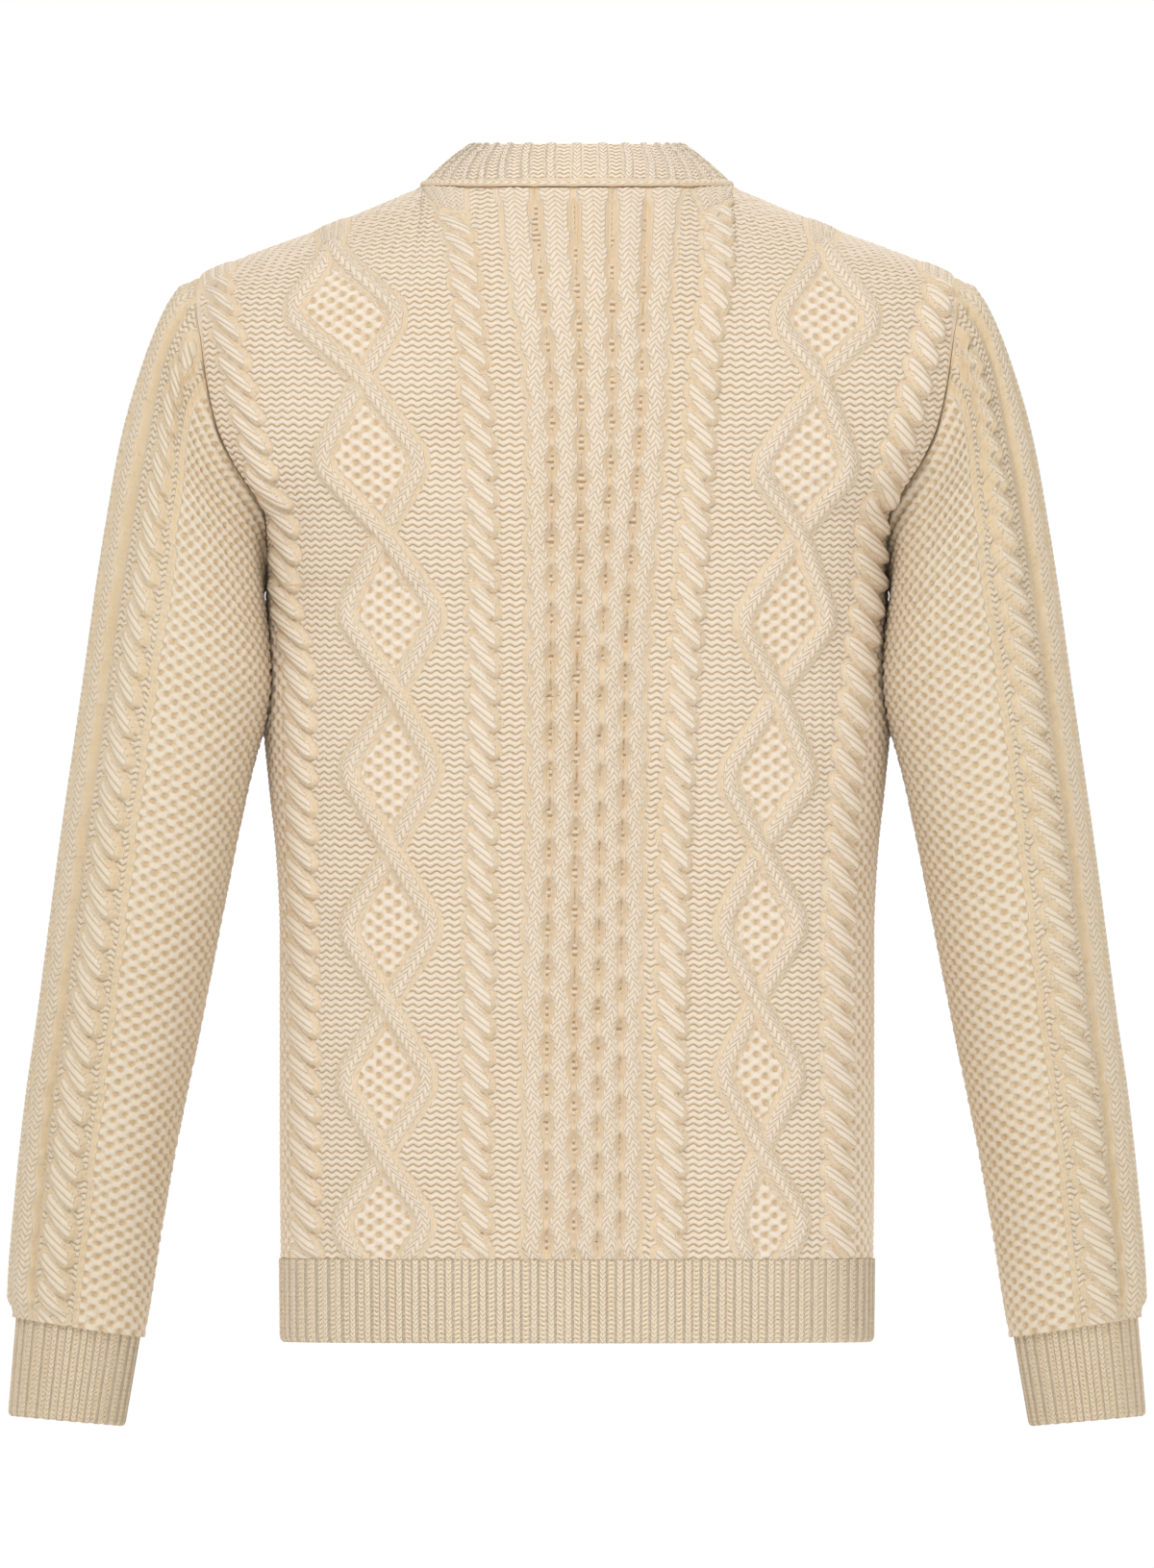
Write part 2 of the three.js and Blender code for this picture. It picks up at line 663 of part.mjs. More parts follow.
function sleeveLine(item, raise, pitch) {
  const steps = Math.round((sleeveLength - sleeveStart) / pitch);
  const points = [];
  const keys = [];
  for (let i = 0; i <= steps; i++) {
    const along = lerp(sleeveStart, sleeveLength, i / steps);
    const atSeam = i === 0 || i === steps;
    const radius = (sleeve.halfDepth(along) + swayRadius) / 2;
    const sway = atSeam ? 0 : radToDeg((item.sway * (i % 2 ? 1 : -1)) / radius);
    const angle = sleeveAngle(item, along) + (raise < 0 ? 0 : sway);
    if (i === steps) points.push(sleeveEnd(angle, Math.min(raise, 0)));
    else points.push(sleevePoint(along, angle, raise < 0 ? raise : atSeam ? 0 : item.relief));
    keys.push(along);
  }
  return { key: item.angle, points, keys };
}

function sleeveWall(sign) {
  const plan = sleevePlan();
  const outer = plan.map((item) => sleeveLine(item, 0, item.pitch));
  const inner = plan.filter((_, order) => order % 2).map((item) => sleeveLine(item, -wall, innerPitch));
  const awayFromBody = () => new THREE.Vector3(1, 0, 0.3);
  const root = {
    outer: pastSeam(armholeLoop(0), awayFromBody),
    inner: pastSeam(armholeLoop(-wall), awayFromBody),
  };
  return mirrored({ outer, inner, period: 360, root }, sign);
}

// The same wall for the other side of the body.
function mirrored(parts, sign) {
  const flip = (point) => new THREE.Vector3(sign * point.x, point.y, point.z);
  const flipLines = (lines) => lines.map((line) => ({ ...line, points: line.points.map(flip) }));
  const flipRing = (ring) => ring.map((row) => ({ ...row, point: flip(row.point) }));
  const { outer, inner, period, root } = parts;
  return closedWall({
    outer: flipLines(outer),
    inner: flipLines(inner),
    period,
    root: root && { outer: flipRing(root.outer), inner: flipRing(root.inner) },
  });
}

// Cuffs: ribbed tubes in line with the sleeves, a little narrower than them.
const cuff = {
  stepIn: 2.4,
  top: {
    outer: new THREE.Vector2(322.6, -646.3),
    inner: new THREE.Vector2(248.8, -657.8),
    middleY: -45,
    halfDepth: 38,
  },
  bottom: {
    outer: new THREE.Vector2(325, -703),
    inner: new THREE.Vector2(260, -709),
    middleY: -53,
    halfDepth: 33.5,
  },
};

function cuffRing(share, angle, raise) {
  const { top, bottom, stepIn } = cuff;
  const outerEnd = top.outer.clone().lerp(bottom.outer, share);
  const innerEnd = top.inner.clone().lerp(bottom.inner, share);
  const across = outerEnd.clone().sub(innerEnd);
  const axis = new THREE.Vector2(across.y, -across.x).normalize();
  const halfWidth = across.length() / 2 - stepIn * (1 - share) + raise;
  const halfDepth = lerp(top.halfDepth - stepIn, bottom.halfDepth, share) + raise;
  const centre = outerEnd.add(innerEnd).multiplyScalar(0.5).addScaledVector(axis, seamGap * (1 - share));
  centre.addScaledVector(across.normalize(), halfWidth * Math.cos(degToRad(angle)));
  const y = lerp(top.middleY, bottom.middleY, share) + halfDepth * Math.sin(degToRad(angle));
  return new THREE.Vector3(centre.x, y, centre.y);
}

function cuffWall(sign) {
  const shares = [0, 0.5, 1];
  const lineAt = (angle, raise) => ({
    key: angle,
    points: shares.map((share) => cuffRing(share, angle, raise)),
    keys: shares,
  });
  const round = (count) => Array.from({ length: count }, (_, i) => (360 * i) / count);
  const ribs = [cuffRibRelief / 2, -cuffRibRelief / 2];
  const outer = round(2 * cuffRibs).map((angle, i) => lineAt(angle, ribs[i % 2]));
  const inner = round(cuffInnerLines).map((angle) => lineAt(angle, -wall));
  return mirrored({ outer, inner, period: 360 }, sign);
}

// Hem: a ribbed half tube below each panel, its ribs evenly spaced along the section.
function hemWall(side) {
  const sampleCount = 720;
  const samples = Array.from({ length: sampleCount + 1 }, (_, i) => {
    const angle = (Math.PI * i) / sampleCount;
    const x = Math.sign(Math.cos(angle)) * Math.abs(Math.cos(angle)) ** (2 / body.squareness(hemTop));
    return Math.max(-1, Math.min(1, x));
  });
  const places = samples.map((share) => bodyPoint(side, share * body.halfWidth(hemTop), hemTop));
  const lengths = [0];
  places.slice(1).forEach((place, i) => lengths.push(lengths[i] + place.distanceTo(places[i])));
  const shareAt = (length) => {
    const i = Math.min(lengths.findIndex((value) => value >= length - 1e-6), samples.length - 1);
    return samples[i];
  };
  const lineAt = (order, count, raise) => {
    const share = shareAt((lengths.at(-1) * order) / count);
    const heights = [hemBottom, hemTop - seamGap];
    const points = heights.map((z) => {
      const x = share * body.halfWidth(z);
      const flat = bodyNormal(side, x, z).setZ(0).normalize();
      return bodyPoint(side, x, z).addScaledVector(flat, raise);
    });
    return { key: order / count, points, keys: heights };
  };
  const every = (count) => Array.from({ length: count + 1 }, (_, i) => i);
  const outerCount = 2 * hemRibs;
  const outer = every(outerCount).map((i) => lineAt(i, outerCount, i % 2 ? hemRibRelief : 0));
  const inner = every(hemInnerLines).map((i) => lineAt(i, hemInnerLines, -wall));
  return closedWall({ outer, inner });
}

// Neck band: a ribbed stand that leans in from the neck seam to an oval top edge.
const neckTopEdge = { halfWidth: 60, halfDepth: 53, middleY: -10, backHeight: 25, dropStart: 75 };
const neckBulge = 2.5;
const bandShares = [0.15, 0.55, 1]; // heights of the band's points between seam and top edge

function neckLoop(raise) {
  const rowsOf = (sheets) => {
    const lines = raise < 0 ? sheets.inner : sheets.outer;
    return lines
      .map(({ side, item, heights }) => ({ side, x: item.x(heights.at(-1).z), z: heights.at(-1).z }))
      .filter((row) => Math.abs(row.x) <= neckHalfWidth + 0.01)
      .map(({ side, x, z }) => ({
        point: panelPoint(side, x, z, raise),
        normal: bodyNormal(side, x, z),
        key: neckAngle(side, x) + (raise < 0 ? side * keyStep : 0),
      }));
  };
  const backRows = rowsOf(back).sort((a, b) => a.key - b.key);
  const frontRows = rowsOf(front).sort((a, b) => a.key - b.key);
  const join = (a, b) => ({ point: midpoint(a.point, b.point), normal: a.normal, key: a.key });
  return [
    { ...join(backRows[0], frontRows.at(-1)), key: -90 },
    ...backRows.slice(1, -1),
    { ...join(backRows.at(-1), frontRows[0]), key: 90 },
    ...frontRows.slice(1, -1),
  ];
}

// The angle round the neck: 0 at the middle of the back, 90 at the left neck point.
function neckAngle(side, x) {
  const angle = radToDeg(Math.asin(THREE.MathUtils.clamp(x / neckHalfWidth, -1, 1)));
  return side > 0 ? angle : 180 - angle;
}

function neckTop(angle) {
  const turn = degToRad(angle);
  const { halfWidth, halfDepth, middleY, backHeight, dropStart } = neckTopEdge;
  const fromBack = Math.abs(angle > 180 ? angle - 360 : angle);
  const height = backHeight - neckDropFront * smoothstep(fromBack, dropStart, 180);
  return new THREE.Vector3(halfWidth * Math.sin(turn), middleY + halfDepth * Math.cos(turn), height);
}

function neckWall() {
  const up = () => new THREE.Vector3(0, 0, 1);
  const inward = (row) => new THREE.Vector3(-row.point.x, -row.point.y, 60).normalize();
  const root = { outer: pastSeam(neckLoop(0), inward), inner: pastSeam(neckLoop(-wall), inward) };
  const rootAt = (angle) => {
    const rows = [...root.outer, { ...root.outer[0], key: root.outer[0].key + 360 }];
    const i = Math.max(1, rows.findIndex((row) => row.key >= angle));
    const share = (angle - rows[i - 1].key) / (rows[i].key - rows[i - 1].key);
    return rows[i - 1].point.clone().lerp(rows[i].point, share);
  };
  const ground = (angle, share) => {
    const turned = ((angle + 90) % 360 + 360) % 360 - 90;
    const point = rootAt(turned).lerp(neckTop(turned), share);
    const bulge = neckBulge * Math.sin(Math.PI * share);
    const outward = new THREE.Vector3(point.x, point.y - neckTopEdge.middleY, 0).normalize();
    return point.addScaledVector(outward, bulge);
  };
  const bandPoint = (angle, share, raise) => {
    const rise = ground(angle, share + 0.05).sub(ground(angle, share - 0.05));
    const round = ground(angle + 2, share).sub(ground(angle - 2, share));
    const normal = new THREE.Vector3().crossVectors(rise, round).normalize();
    const outward = new THREE.Vector3(Math.sin(degToRad(angle)), Math.cos(degToRad(angle)), 0);
    if (normal.dot(outward) < 0) normal.negate();
    return ground(angle, share).addScaledVector(normal, raise);
  };
  const lineAt = (angle, raise) => ({
    key: angle,
    points: bandShares.map((share) => bandPoint(angle, share, raise)),
    keys: bandShares,
  });
  const round = (count) => Array.from({ length: count }, (_, i) => -90 + (360 * i) / count);
  const outer = round(2 * neckRibs).map((angle, i) => lineAt(angle, i % 2 ? neckRibRelief : 0));
  const inner = round(neckInnerLines).map((angle) => lineAt(angle, -wall));
  return closedWall({ outer, inner, period: 360, root });
}

function piece(name, geometry) {
  const material = new THREE.MeshStandardMaterial({ color: wool, roughness: 0.95, metalness: 0 });
  const mesh = new THREE.Mesh(geometry, material);
  mesh.name = name;
  return mesh;
}

const sweater = new THREE.Group();
sweater.name = 'cable_knit_sweater';
sweater.add(
  piece('back_panel', closedWall(back)),
  piece('front_panel', closedWall(front)),
  piece('sleeve_left', sleeveWall(1)),
  piece('sleeve_right', sleeveWall(-1)),
  piece('neck_band', neckWall()),
  piece('hem_rib_back', hemWall(1)),
  piece('hem_rib_front', hemWall(-1)),
  piece('cuff_left', cuffWall(1)),
  piece('cuff_right', cuffWall(-1)),
);

export default sweater;
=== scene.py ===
import math

import bmesh
import bpy
import numpy as np
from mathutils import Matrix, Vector


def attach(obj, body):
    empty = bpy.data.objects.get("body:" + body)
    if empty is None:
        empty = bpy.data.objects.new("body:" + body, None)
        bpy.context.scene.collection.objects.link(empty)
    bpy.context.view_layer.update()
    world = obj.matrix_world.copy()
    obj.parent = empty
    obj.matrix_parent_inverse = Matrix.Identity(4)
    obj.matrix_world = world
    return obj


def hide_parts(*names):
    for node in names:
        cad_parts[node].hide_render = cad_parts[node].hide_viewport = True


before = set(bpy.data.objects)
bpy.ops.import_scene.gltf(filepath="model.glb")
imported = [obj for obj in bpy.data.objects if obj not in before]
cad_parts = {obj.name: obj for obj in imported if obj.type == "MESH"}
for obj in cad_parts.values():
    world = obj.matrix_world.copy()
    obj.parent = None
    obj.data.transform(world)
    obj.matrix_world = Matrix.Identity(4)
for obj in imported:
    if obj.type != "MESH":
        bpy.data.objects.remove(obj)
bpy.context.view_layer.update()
bpy.ops.object.select_all(action="DESELECT")

# The camera: level, straight behind the sweater and far away, as in the photograph, with the
# whole frame 660 mm wide at the sweater.
CAMERA_AWAY = 30.0
FRAME_HEIGHT = 0.897
camera_data = bpy.data.cameras.new("camera")
camera_data.sensor_fit = "VERTICAL"
camera_data.sensor_height = 24
camera_data.lens = 24 * CAMERA_AWAY / FRAME_HEIGHT
camera_data.clip_end = 100
camera = bpy.data.objects.new("camera", camera_data)
camera.location = (0, CAMERA_AWAY, -0.341)
camera.rotation_euler = (math.radians(90), 0, math.radians(180))
bpy.context.collection.objects.link(camera)
bpy.context.scene.camera = camera

# The back: one knitted panel of undyed wool, made in two halves that meet in a ladder of the
# middle panel. Rope cables, diamonds and wave columns stand up from a purl ground, and it
# is sewn to the front at the sides and shoulders. Sizes are in millimetres.
ROW = 3.8  # height of one knitted row
WALL = 2.6
HEM_TOP = -612
FAN_START = -112  # above this height the rows follow the slope of the shoulders
UNDERARM = -228
SHOULDER_POINT = -51.2
SHOULDER_HALF = 216
NECK_HALF = 88
NECK_DROP_FRONT = 80
FINE = 1201  # points along a line before it is cut into equal pieces


def curve(rows, column=1):
    """A smooth function of a table's first column, which never overshoots the values."""
    rows = sorted(rows)
    keys = np.array([row[0] for row in rows], float)
    values = np.array([row[column] for row in rows], float)
    step = np.diff(keys)
    slope = np.diff(values) / step
    before = np.concatenate([slope[:1], slope])
    after = np.concatenate([slope, slope[-1:]])
    total = np.where(before + after == 0, 1, before + after)
    tangent = np.where(before * after <= 0, 0, 2 * before * after / total)

    def at(key):
        key = np.clip(key, keys[0], keys[-1])
        i = np.clip(np.searchsorted(keys, key, side="right") - 1, 0, len(step) - 1)
        t = (key - keys[i]) / step[i]
        start = step[i] * tangent[i]
        rise = values[i + 1] - values[i]
        bend = step[i] * (tangent[i] + tangent[i + 1]) - 2 * rise
        return values[i] + t * (start + t * (rise - start - bend + t * bend))

    return at


def ease(value, low, high):
    """0 below one value and 1 above another, with a smooth rise between."""
    t = np.clip((value - low) / (high - low), 0, 1)
    return t * t * (3 - 2 * t)


# Height, half width, depth of the back, depth of the front, squareness
BODY = [
    (0, 88, 58, 34, 2),
    (-13.2, 119.4, 68, 42, 1.9),
    (-25.9, 151, 77, 50, 1.8),
    (-37.4, 182.6, 85, 56, 1.75),
    (-45.7, 203.5, 90, 61, 1.72),
    (-51.2, 216, 93, 64, 1.7),
    (-58, 228, 95, 68, 1.75),
    (-67, 236, 97, 75, 1.85),
    (-80, 237, 100, 83, 2),
    (-112, 231, 106, 100, 2.3),
    (-137, 224, 109, 109, 2.4),
    (-157, 211, 111, 115, 2.4),
    (-174, 195.5, 112, 119, 2.4),
    (-186.5, 183.5, 113, 122, 2.4),
    (-210, 178, 113, 126, 2.4),
    (-228, 177, 113, 128, 2.4),
    (-298, 178.7, 106, 123, 2.4),
    (-339, 175.5, 101, 119, 2.4),
    (-383, 171, 98, 116, 2.4),
    (-427, 169, 98, 114, 2.4),
    (-553, 169, 103, 113, 2.4),
    (-612, 168.5, 105, 112, 2.4),
    (-660, 168, 103, 108, 2.4),
]
half_width, back_depth, front_depth, squareness = (curve(BODY, i) for i in (1, 2, 3, 4))

# The armhole seam: height and x
ARMHOLE = [
    (-228, 177),
    (-219, 176.6),
    (-210, 176.5),
    (-198, 177),
    (-186.5, 178.5),
    (-174, 186),
    (-157, 197),
    (-137, 206),
    (-112, 211.7),
    (-88, 215),
    (-70, 217.4),
    (-58, 217.4),
    (-51.2, 216),
]
armhole_x = curve(ARMHOLE)


def ground(side, x, z):
    """Points of the back (side 1) or the front (side -1)."""
    n = squareness(z)
    depth = back_depth(z) if side > 0 else front_depth(z)
    share = 1 - np.minimum(1, np.abs(x) / half_width(z)) ** n
    return np.stack([x + 0 * z, side * depth * share ** (1 / n), z + 0 * x], -1)


def edge_x(side, z):
    """x of a panel's side: the side seam, and above the underarm the armhole."""
    scoop = 0 if side > 0 else 6 * np.sin(np.pi * ease(z, UNDERARM, SHOULDER_POINT))
    return np.where(z <= UNDERARM, half_width(z), armhole_x(z) - scoop)


def top_seam(side, x):
    """Height of the shoulder seam, or of the neck seam within its half width."""
    reach = np.abs(x)
    heights = np.linspace(0, SHOULDER_POINT, 400)
    shoulder = np.interp(reach, half_width(heights), heights)
    inside = 1 - np.minimum(1, reach / NECK_HALF) ** 2
    neck = 0 * reach if side > 0 else -NECK_DROP_FRONT * np.sqrt(inside)
    return np.where(reach <= NECK_HALF, neck, shoulder)


def run_length(points, axis=0):
    """Distance along each line of points of a grid, or along one line."""
    gaps = np.linalg.norm(np.diff(points, axis=axis), axis=-1)
    return np.concatenate([0 * gaps.take([0], axis), np.cumsum(gaps, axis=axis)], axis)


def spread(points, count):
    """Shares along a line of points that cut it into pieces of one length."""
    along = run_length(points)
    return np.interp(np.linspace(0, along[-1], count), along, np.linspace(0, 1, len(points)))


def panel_grid(side, across, rows_below, rows_above):
    """Ground points of a panel, from its +x edge, with each point's knitted height."""
    fine = np.linspace(1, -1, FINE)
    shares = np.linspace(0, 1, FINE)
    below = []
    for z in np.linspace(HEM_TOP, FAN_START, rows_below + 1):
        edge = edge_x(side, np.array(z))
        x = edge * np.sin(fine * np.pi / 2)
        line = ground(side, x, z + 0 * x)
        below.append(np.interp(spread(line, across + 1), shares, x))
    below = np.array(below)
    top_x = SHOULDER_HALF * fine
    seam_line = ground(side, top_x, top_seam(side, top_x))
    top_x = np.interp(spread(seam_line, across + 1), shares, top_x)
    steps = np.linspace(0, 1, 241)
    columns_x, columns_z, columns_row = [], [], []
    for i in range(across + 1):
        low, high = below[-1, i], top_x[i]
        x = low + (high - low) * steps
        z = FAN_START + (top_seam(side, x) - FAN_START) * steps
        if i in (0, across):
            z = FAN_START + (SHOULDER_POINT - FAN_START) * steps
            x = np.sign(low) * edge_x(side, z)
        along = run_length(ground(side, x, z))
        wanted = np.linspace(0, along[-1], rows_above + 1)
        columns_x.append(np.interp(wanted, along, x))
        columns_z.append(np.interp(wanted, along, z))
        columns_row.append(FAN_START + wanted)
    x = np.concatenate([below, np.array(columns_x).T[1:]])
    below_z = np.linspace(HEM_TOP, FAN_START, rows_below + 1)[:, None] + 0 * below
    z = np.concatenate([below_z, np.array(columns_z).T[1:]])
    row = np.concatenate([below_z, np.array(columns_row).T[1:]])
    to_top = row[-1:] - row
    return ground(side, x, z), x, z, row, to_top


LEAN = 1.1  # rows that a leg of a knit stitch rises


def knit(u, v):
    """Height, 0 to 1, of V-shaped knit stitches, a wale for each unit of u, a row of v."""
    out = np.abs(2 * (u % 1) - 1)
    leg = np.sin(np.pi * ((v - LEAN * out) % 1)) ** 0.7
    return leg * np.sin(np.pi * (0.06 + 0.88 * out)) ** 0.5


def purl(u, v):
    """Wavy ridges across the fabric, one for each row."""
    wave = v + 0.2 * np.cos(2 * np.pi * u)
    return np.sin(np.pi * (wave % 1)) ** 0.75 * (0.88 + 0.12 * np.cos(4 * np.pi * u))


def moss(u, v):
    """Round bumps in a chequer, with small upright legs in the pits between them."""
    chequer = np.sin(np.pi * u) * np.sin(np.pi * v)
    legs = np.clip(-chequer, 0, 1) ** 0.6 * np.abs(np.cos(np.pi * u))
    return ease(chequer, -0.8, 0.6) + 0.3 * legs


ABSENT = -9  # relief where a pattern has nothing


def new_fabric(shape):
    """What each point of a piece holds, with nothing knitted yet."""
    names = ("relief", "depth", "stitch", "u", "v", "painted_shade", "ladder", "layer")
    fabric = {name: np.zeros(shape) for name in names}
    fabric["relief"] += ABSENT
    fabric["kind"] = np.zeros(shape, int)
    return fabric


KNIT, PURL, MOSS = 0, 1, 2


# painted_shade is painted shade, 0 to 1, for the hollows of the pattern being laid
def lay(fabric, relief, depth, kind, u, v, painted_shade=0):
    """Puts a stitch pattern wherever its relief is above what lies there already."""
    stitch = (knit, purl, moss)[kind](u, v)
    on_top = relief > fabric["relief"]
    new = {"relief": relief, "depth": depth, "stitch": stitch, "u": u, "v": v, "painted_shade": painted_shade}
    new.update(ladder=0, layer=fabric["layer"].max() + 1)
    for name, value in new.items():
        fabric[name] = np.where(on_top, value, fabric[name])
    fabric["kind"] = np.where(on_top, kind, fabric["kind"])


CROSSING = 15.9  # between two crossings of a rope
ROPE_CENTRE = -266.8  # height of the middle of one crossing
STRAND_LEAN = math.radians(27)
STRAND_HALF_WIDTH = 5.7
STRAND_HALF_LENGTH = 14.0


def lay_rope(fabric, offset, row, scale=1.0, flat=0, pitch=CROSSING):
    """Strands that come up at the left edge and dive at the right edge, as seen from outside,
    each over the next one down. The offset counts to the left."""
    cos, sin = math.cos(STRAND_LEAN), math.sin(STRAND_LEAN)
    nearest = (((row - ROPE_CENTRE) / pitch + 0.5) % 1 - 0.5) * pitch
    for centre in (-pitch, 0, pitch):
        rise = nearest - centre
        bend = 1.6 * np.sin(np.clip(rise / pitch, -1, 1) * np.pi / 1.6)
        d = ((offset - bend) * cos - rise * sin) / (STRAND_HALF_WIDTH * scale)
        e = (offset * sin + rise * cos) / (STRAND_HALF_LENGTH * pitch / CROSSING)
        dome = np.sqrt(np.clip(1 - d * d - np.abs(e) ** 3, 0, 1))
        relief = np.where(dome > 0, (1 - flat) * (0.6 + 3.9 * dome - 1.3 * e), ABSENT)
        # Painted shade along each strand's edges and ends, where it dives under the next one
        crevice_shade = 0.55 * (1 - ease(dome, 0.15, 0.55))
        lay(fabric, relief, 0.6, KNIT, 0.75 + d / 4, e * 1.4 - 0.85 * d, crevice_shade)


def lay_cord(fabric, offset, half, top, row, crevice_shade=0.5):
    """A single raised strand, two wales of V stitches wide."""
    d = offset / half
    bulge = np.clip(1 - d * d, 0, 1) ** 0.65
    relief = np.where(np.abs(d) < 1, top * bulge, ABSENT)
    # Painted shade along both edges of the strand
    lay(fabric, relief, 0.9, KNIT, 1 + d, row / ROW, crevice_shade * ease(np.abs(d), 0.74, 1))


def lay_ladder(fabric, where, v):
    """Thin rungs with painted shade in the gaps between them, sunk below the ground."""
    rung = 0.5 + 0.5 * np.cos(2 * np.pi * v)
    new = {"relief": -1.5, "depth": 0.9, "stitch": rung, "u": 0.5, "v": v, "painted_shade": 0}
    new.update(ladder=1, layer=fabric["layer"].max() + 1)
    for name, value in new.items():
        fabric[name] = np.where(where, value, fabric[name])
    fabric["kind"] = np.where(where, KNIT, fabric["kind"])


# Wave columns of the middle panel, from its +x side: height and x
WAVES = [
    [(0, 36), (-34, 33), (-55, 30.5), (-129, 22.3), (-278, 22.3), (-490, 25)],
    [(0, 13), (-34, 11), (-55, 10), (-129, 6.2), (-278, 7.6), (-490, 9.7)],
    [(0, -9), (-34, -9.6), (-55, -10.2), (-129, -11.4), (-278, -7.9), (-490, -5.5)],
    [(0, -31), (-34, -29.8), (-55, -29.3), (-129, -28.2), (-278, -20.5), (-490, -18.2)],
    [(0, -51), (-34, -48.5), (-55, -47), (-129, -44.3), (-278, -34.5), (-490, -30.8)],
]
WAVE_PERIOD = 22.3
WAVE_OPEN = -269  # a height where the first ladder is widest
WAVE_RELIEF = 3.6
INNER_ROPES = [
    [(0, 77), (-36, 66), (-74, 62), (-168, 55), (-278, 53.4), (-388, 55), (-553, 57.8)],
    [(0, -79), (-48, -80), (-91, -73), (-157, -68.8), (-278, -60.5), (-388, -55), (-553, -52.3)],
]
OUTER_ROPES = [
    [
        (-52, 206), (-113, 192.5), (-168, 178.8), (-245, 165),
        (-278, 158.4), (-388, 156.8), (-602, 154),
    ],
    [
        (-58, -206), (-113, -192.5), (-162, -178.8), (-223, -167),
        (-278, -159.5), (-360, -151.3), (-470, -147.4), (-580, -148.5),
    ],
]
# Diamond chains: height and x of each crossing, then height, greater x and lesser x of the
# corners between them
DIAMONDS = [
    (
        [
            (-37, 140), (-110, 122), (-198, 110), (-289, 103), (-379, 105.5),
            (-467, 108), (-553, 110), (-636, 112),
        ],
        [
            (-73, 165, 99), (-157, 147.5, 87.5), (-244, 133, 78), (-333, 132, 80),
            (-423, 132, 80), (-510, 133.5, 82.5), (-592, 136, 84),
        ],
    ),
    (
        [
            (-37, -140), (-110, -138.6), (-198, -126.5), (-289, -114.4), (-377, -104.5),
            (-465, -102), (-550, -104.5), (-636, -106),
        ],
        [
            (-77, -113, -171.6), (-161, -102, -156.8), (-248, -92.4, -144), (-337, -83.6, -133),
            (-422, -81.4, -127.6), (-506, -81.4, -126.5), (-590, -89, -129),
        ],
    ),
]
CORNER_ROUNDING = np.linspace(-8, 8, 7)
DIAMOND_STRAND_HALF = 5.4
DIAMOND_RELIEF = 3.9
PURL_WALE = 7.0
MOSS_WALE = 5.9


def strand_path(crossings, corners, first, z):
    """x of one strand of a chain, its slope, and 1 where it passes over, -1 where under."""
    knots, tops = [], []
    for k, crossing in enumerate(crossings):
        knots.append(crossing)
        tops.append((crossing[0], 1 if (k - 1 + first) % 2 == 0 else -1))
        if k < len(corners):
            knots.append((corners[k][0], corners[k][1 + (k + first) % 2]))
    knots, tops = np.array(knots)[::-1], np.array(tops)[::-1]

    def at(height):
        return sum(np.interp(height + step, *knots.T) for step in CORNER_ROUNDING) / 7

    return at(z), (at(z + 1) - at(z - 1)) / 2, np.interp(z, *tops.T)


def lay_fan(fabric, offset, half, share, v):
    """The straight wales that a rope or chain opens into below a seam."""
    d = offset / half
    relief = 1.3 * share * np.clip(1 - d**4, 0, 1)
    relief = np.where((share > 0) & (np.abs(d) < 1), relief, ABSENT)
    lay(fabric, relief, 0.9, KNIT, 2 * d, v)


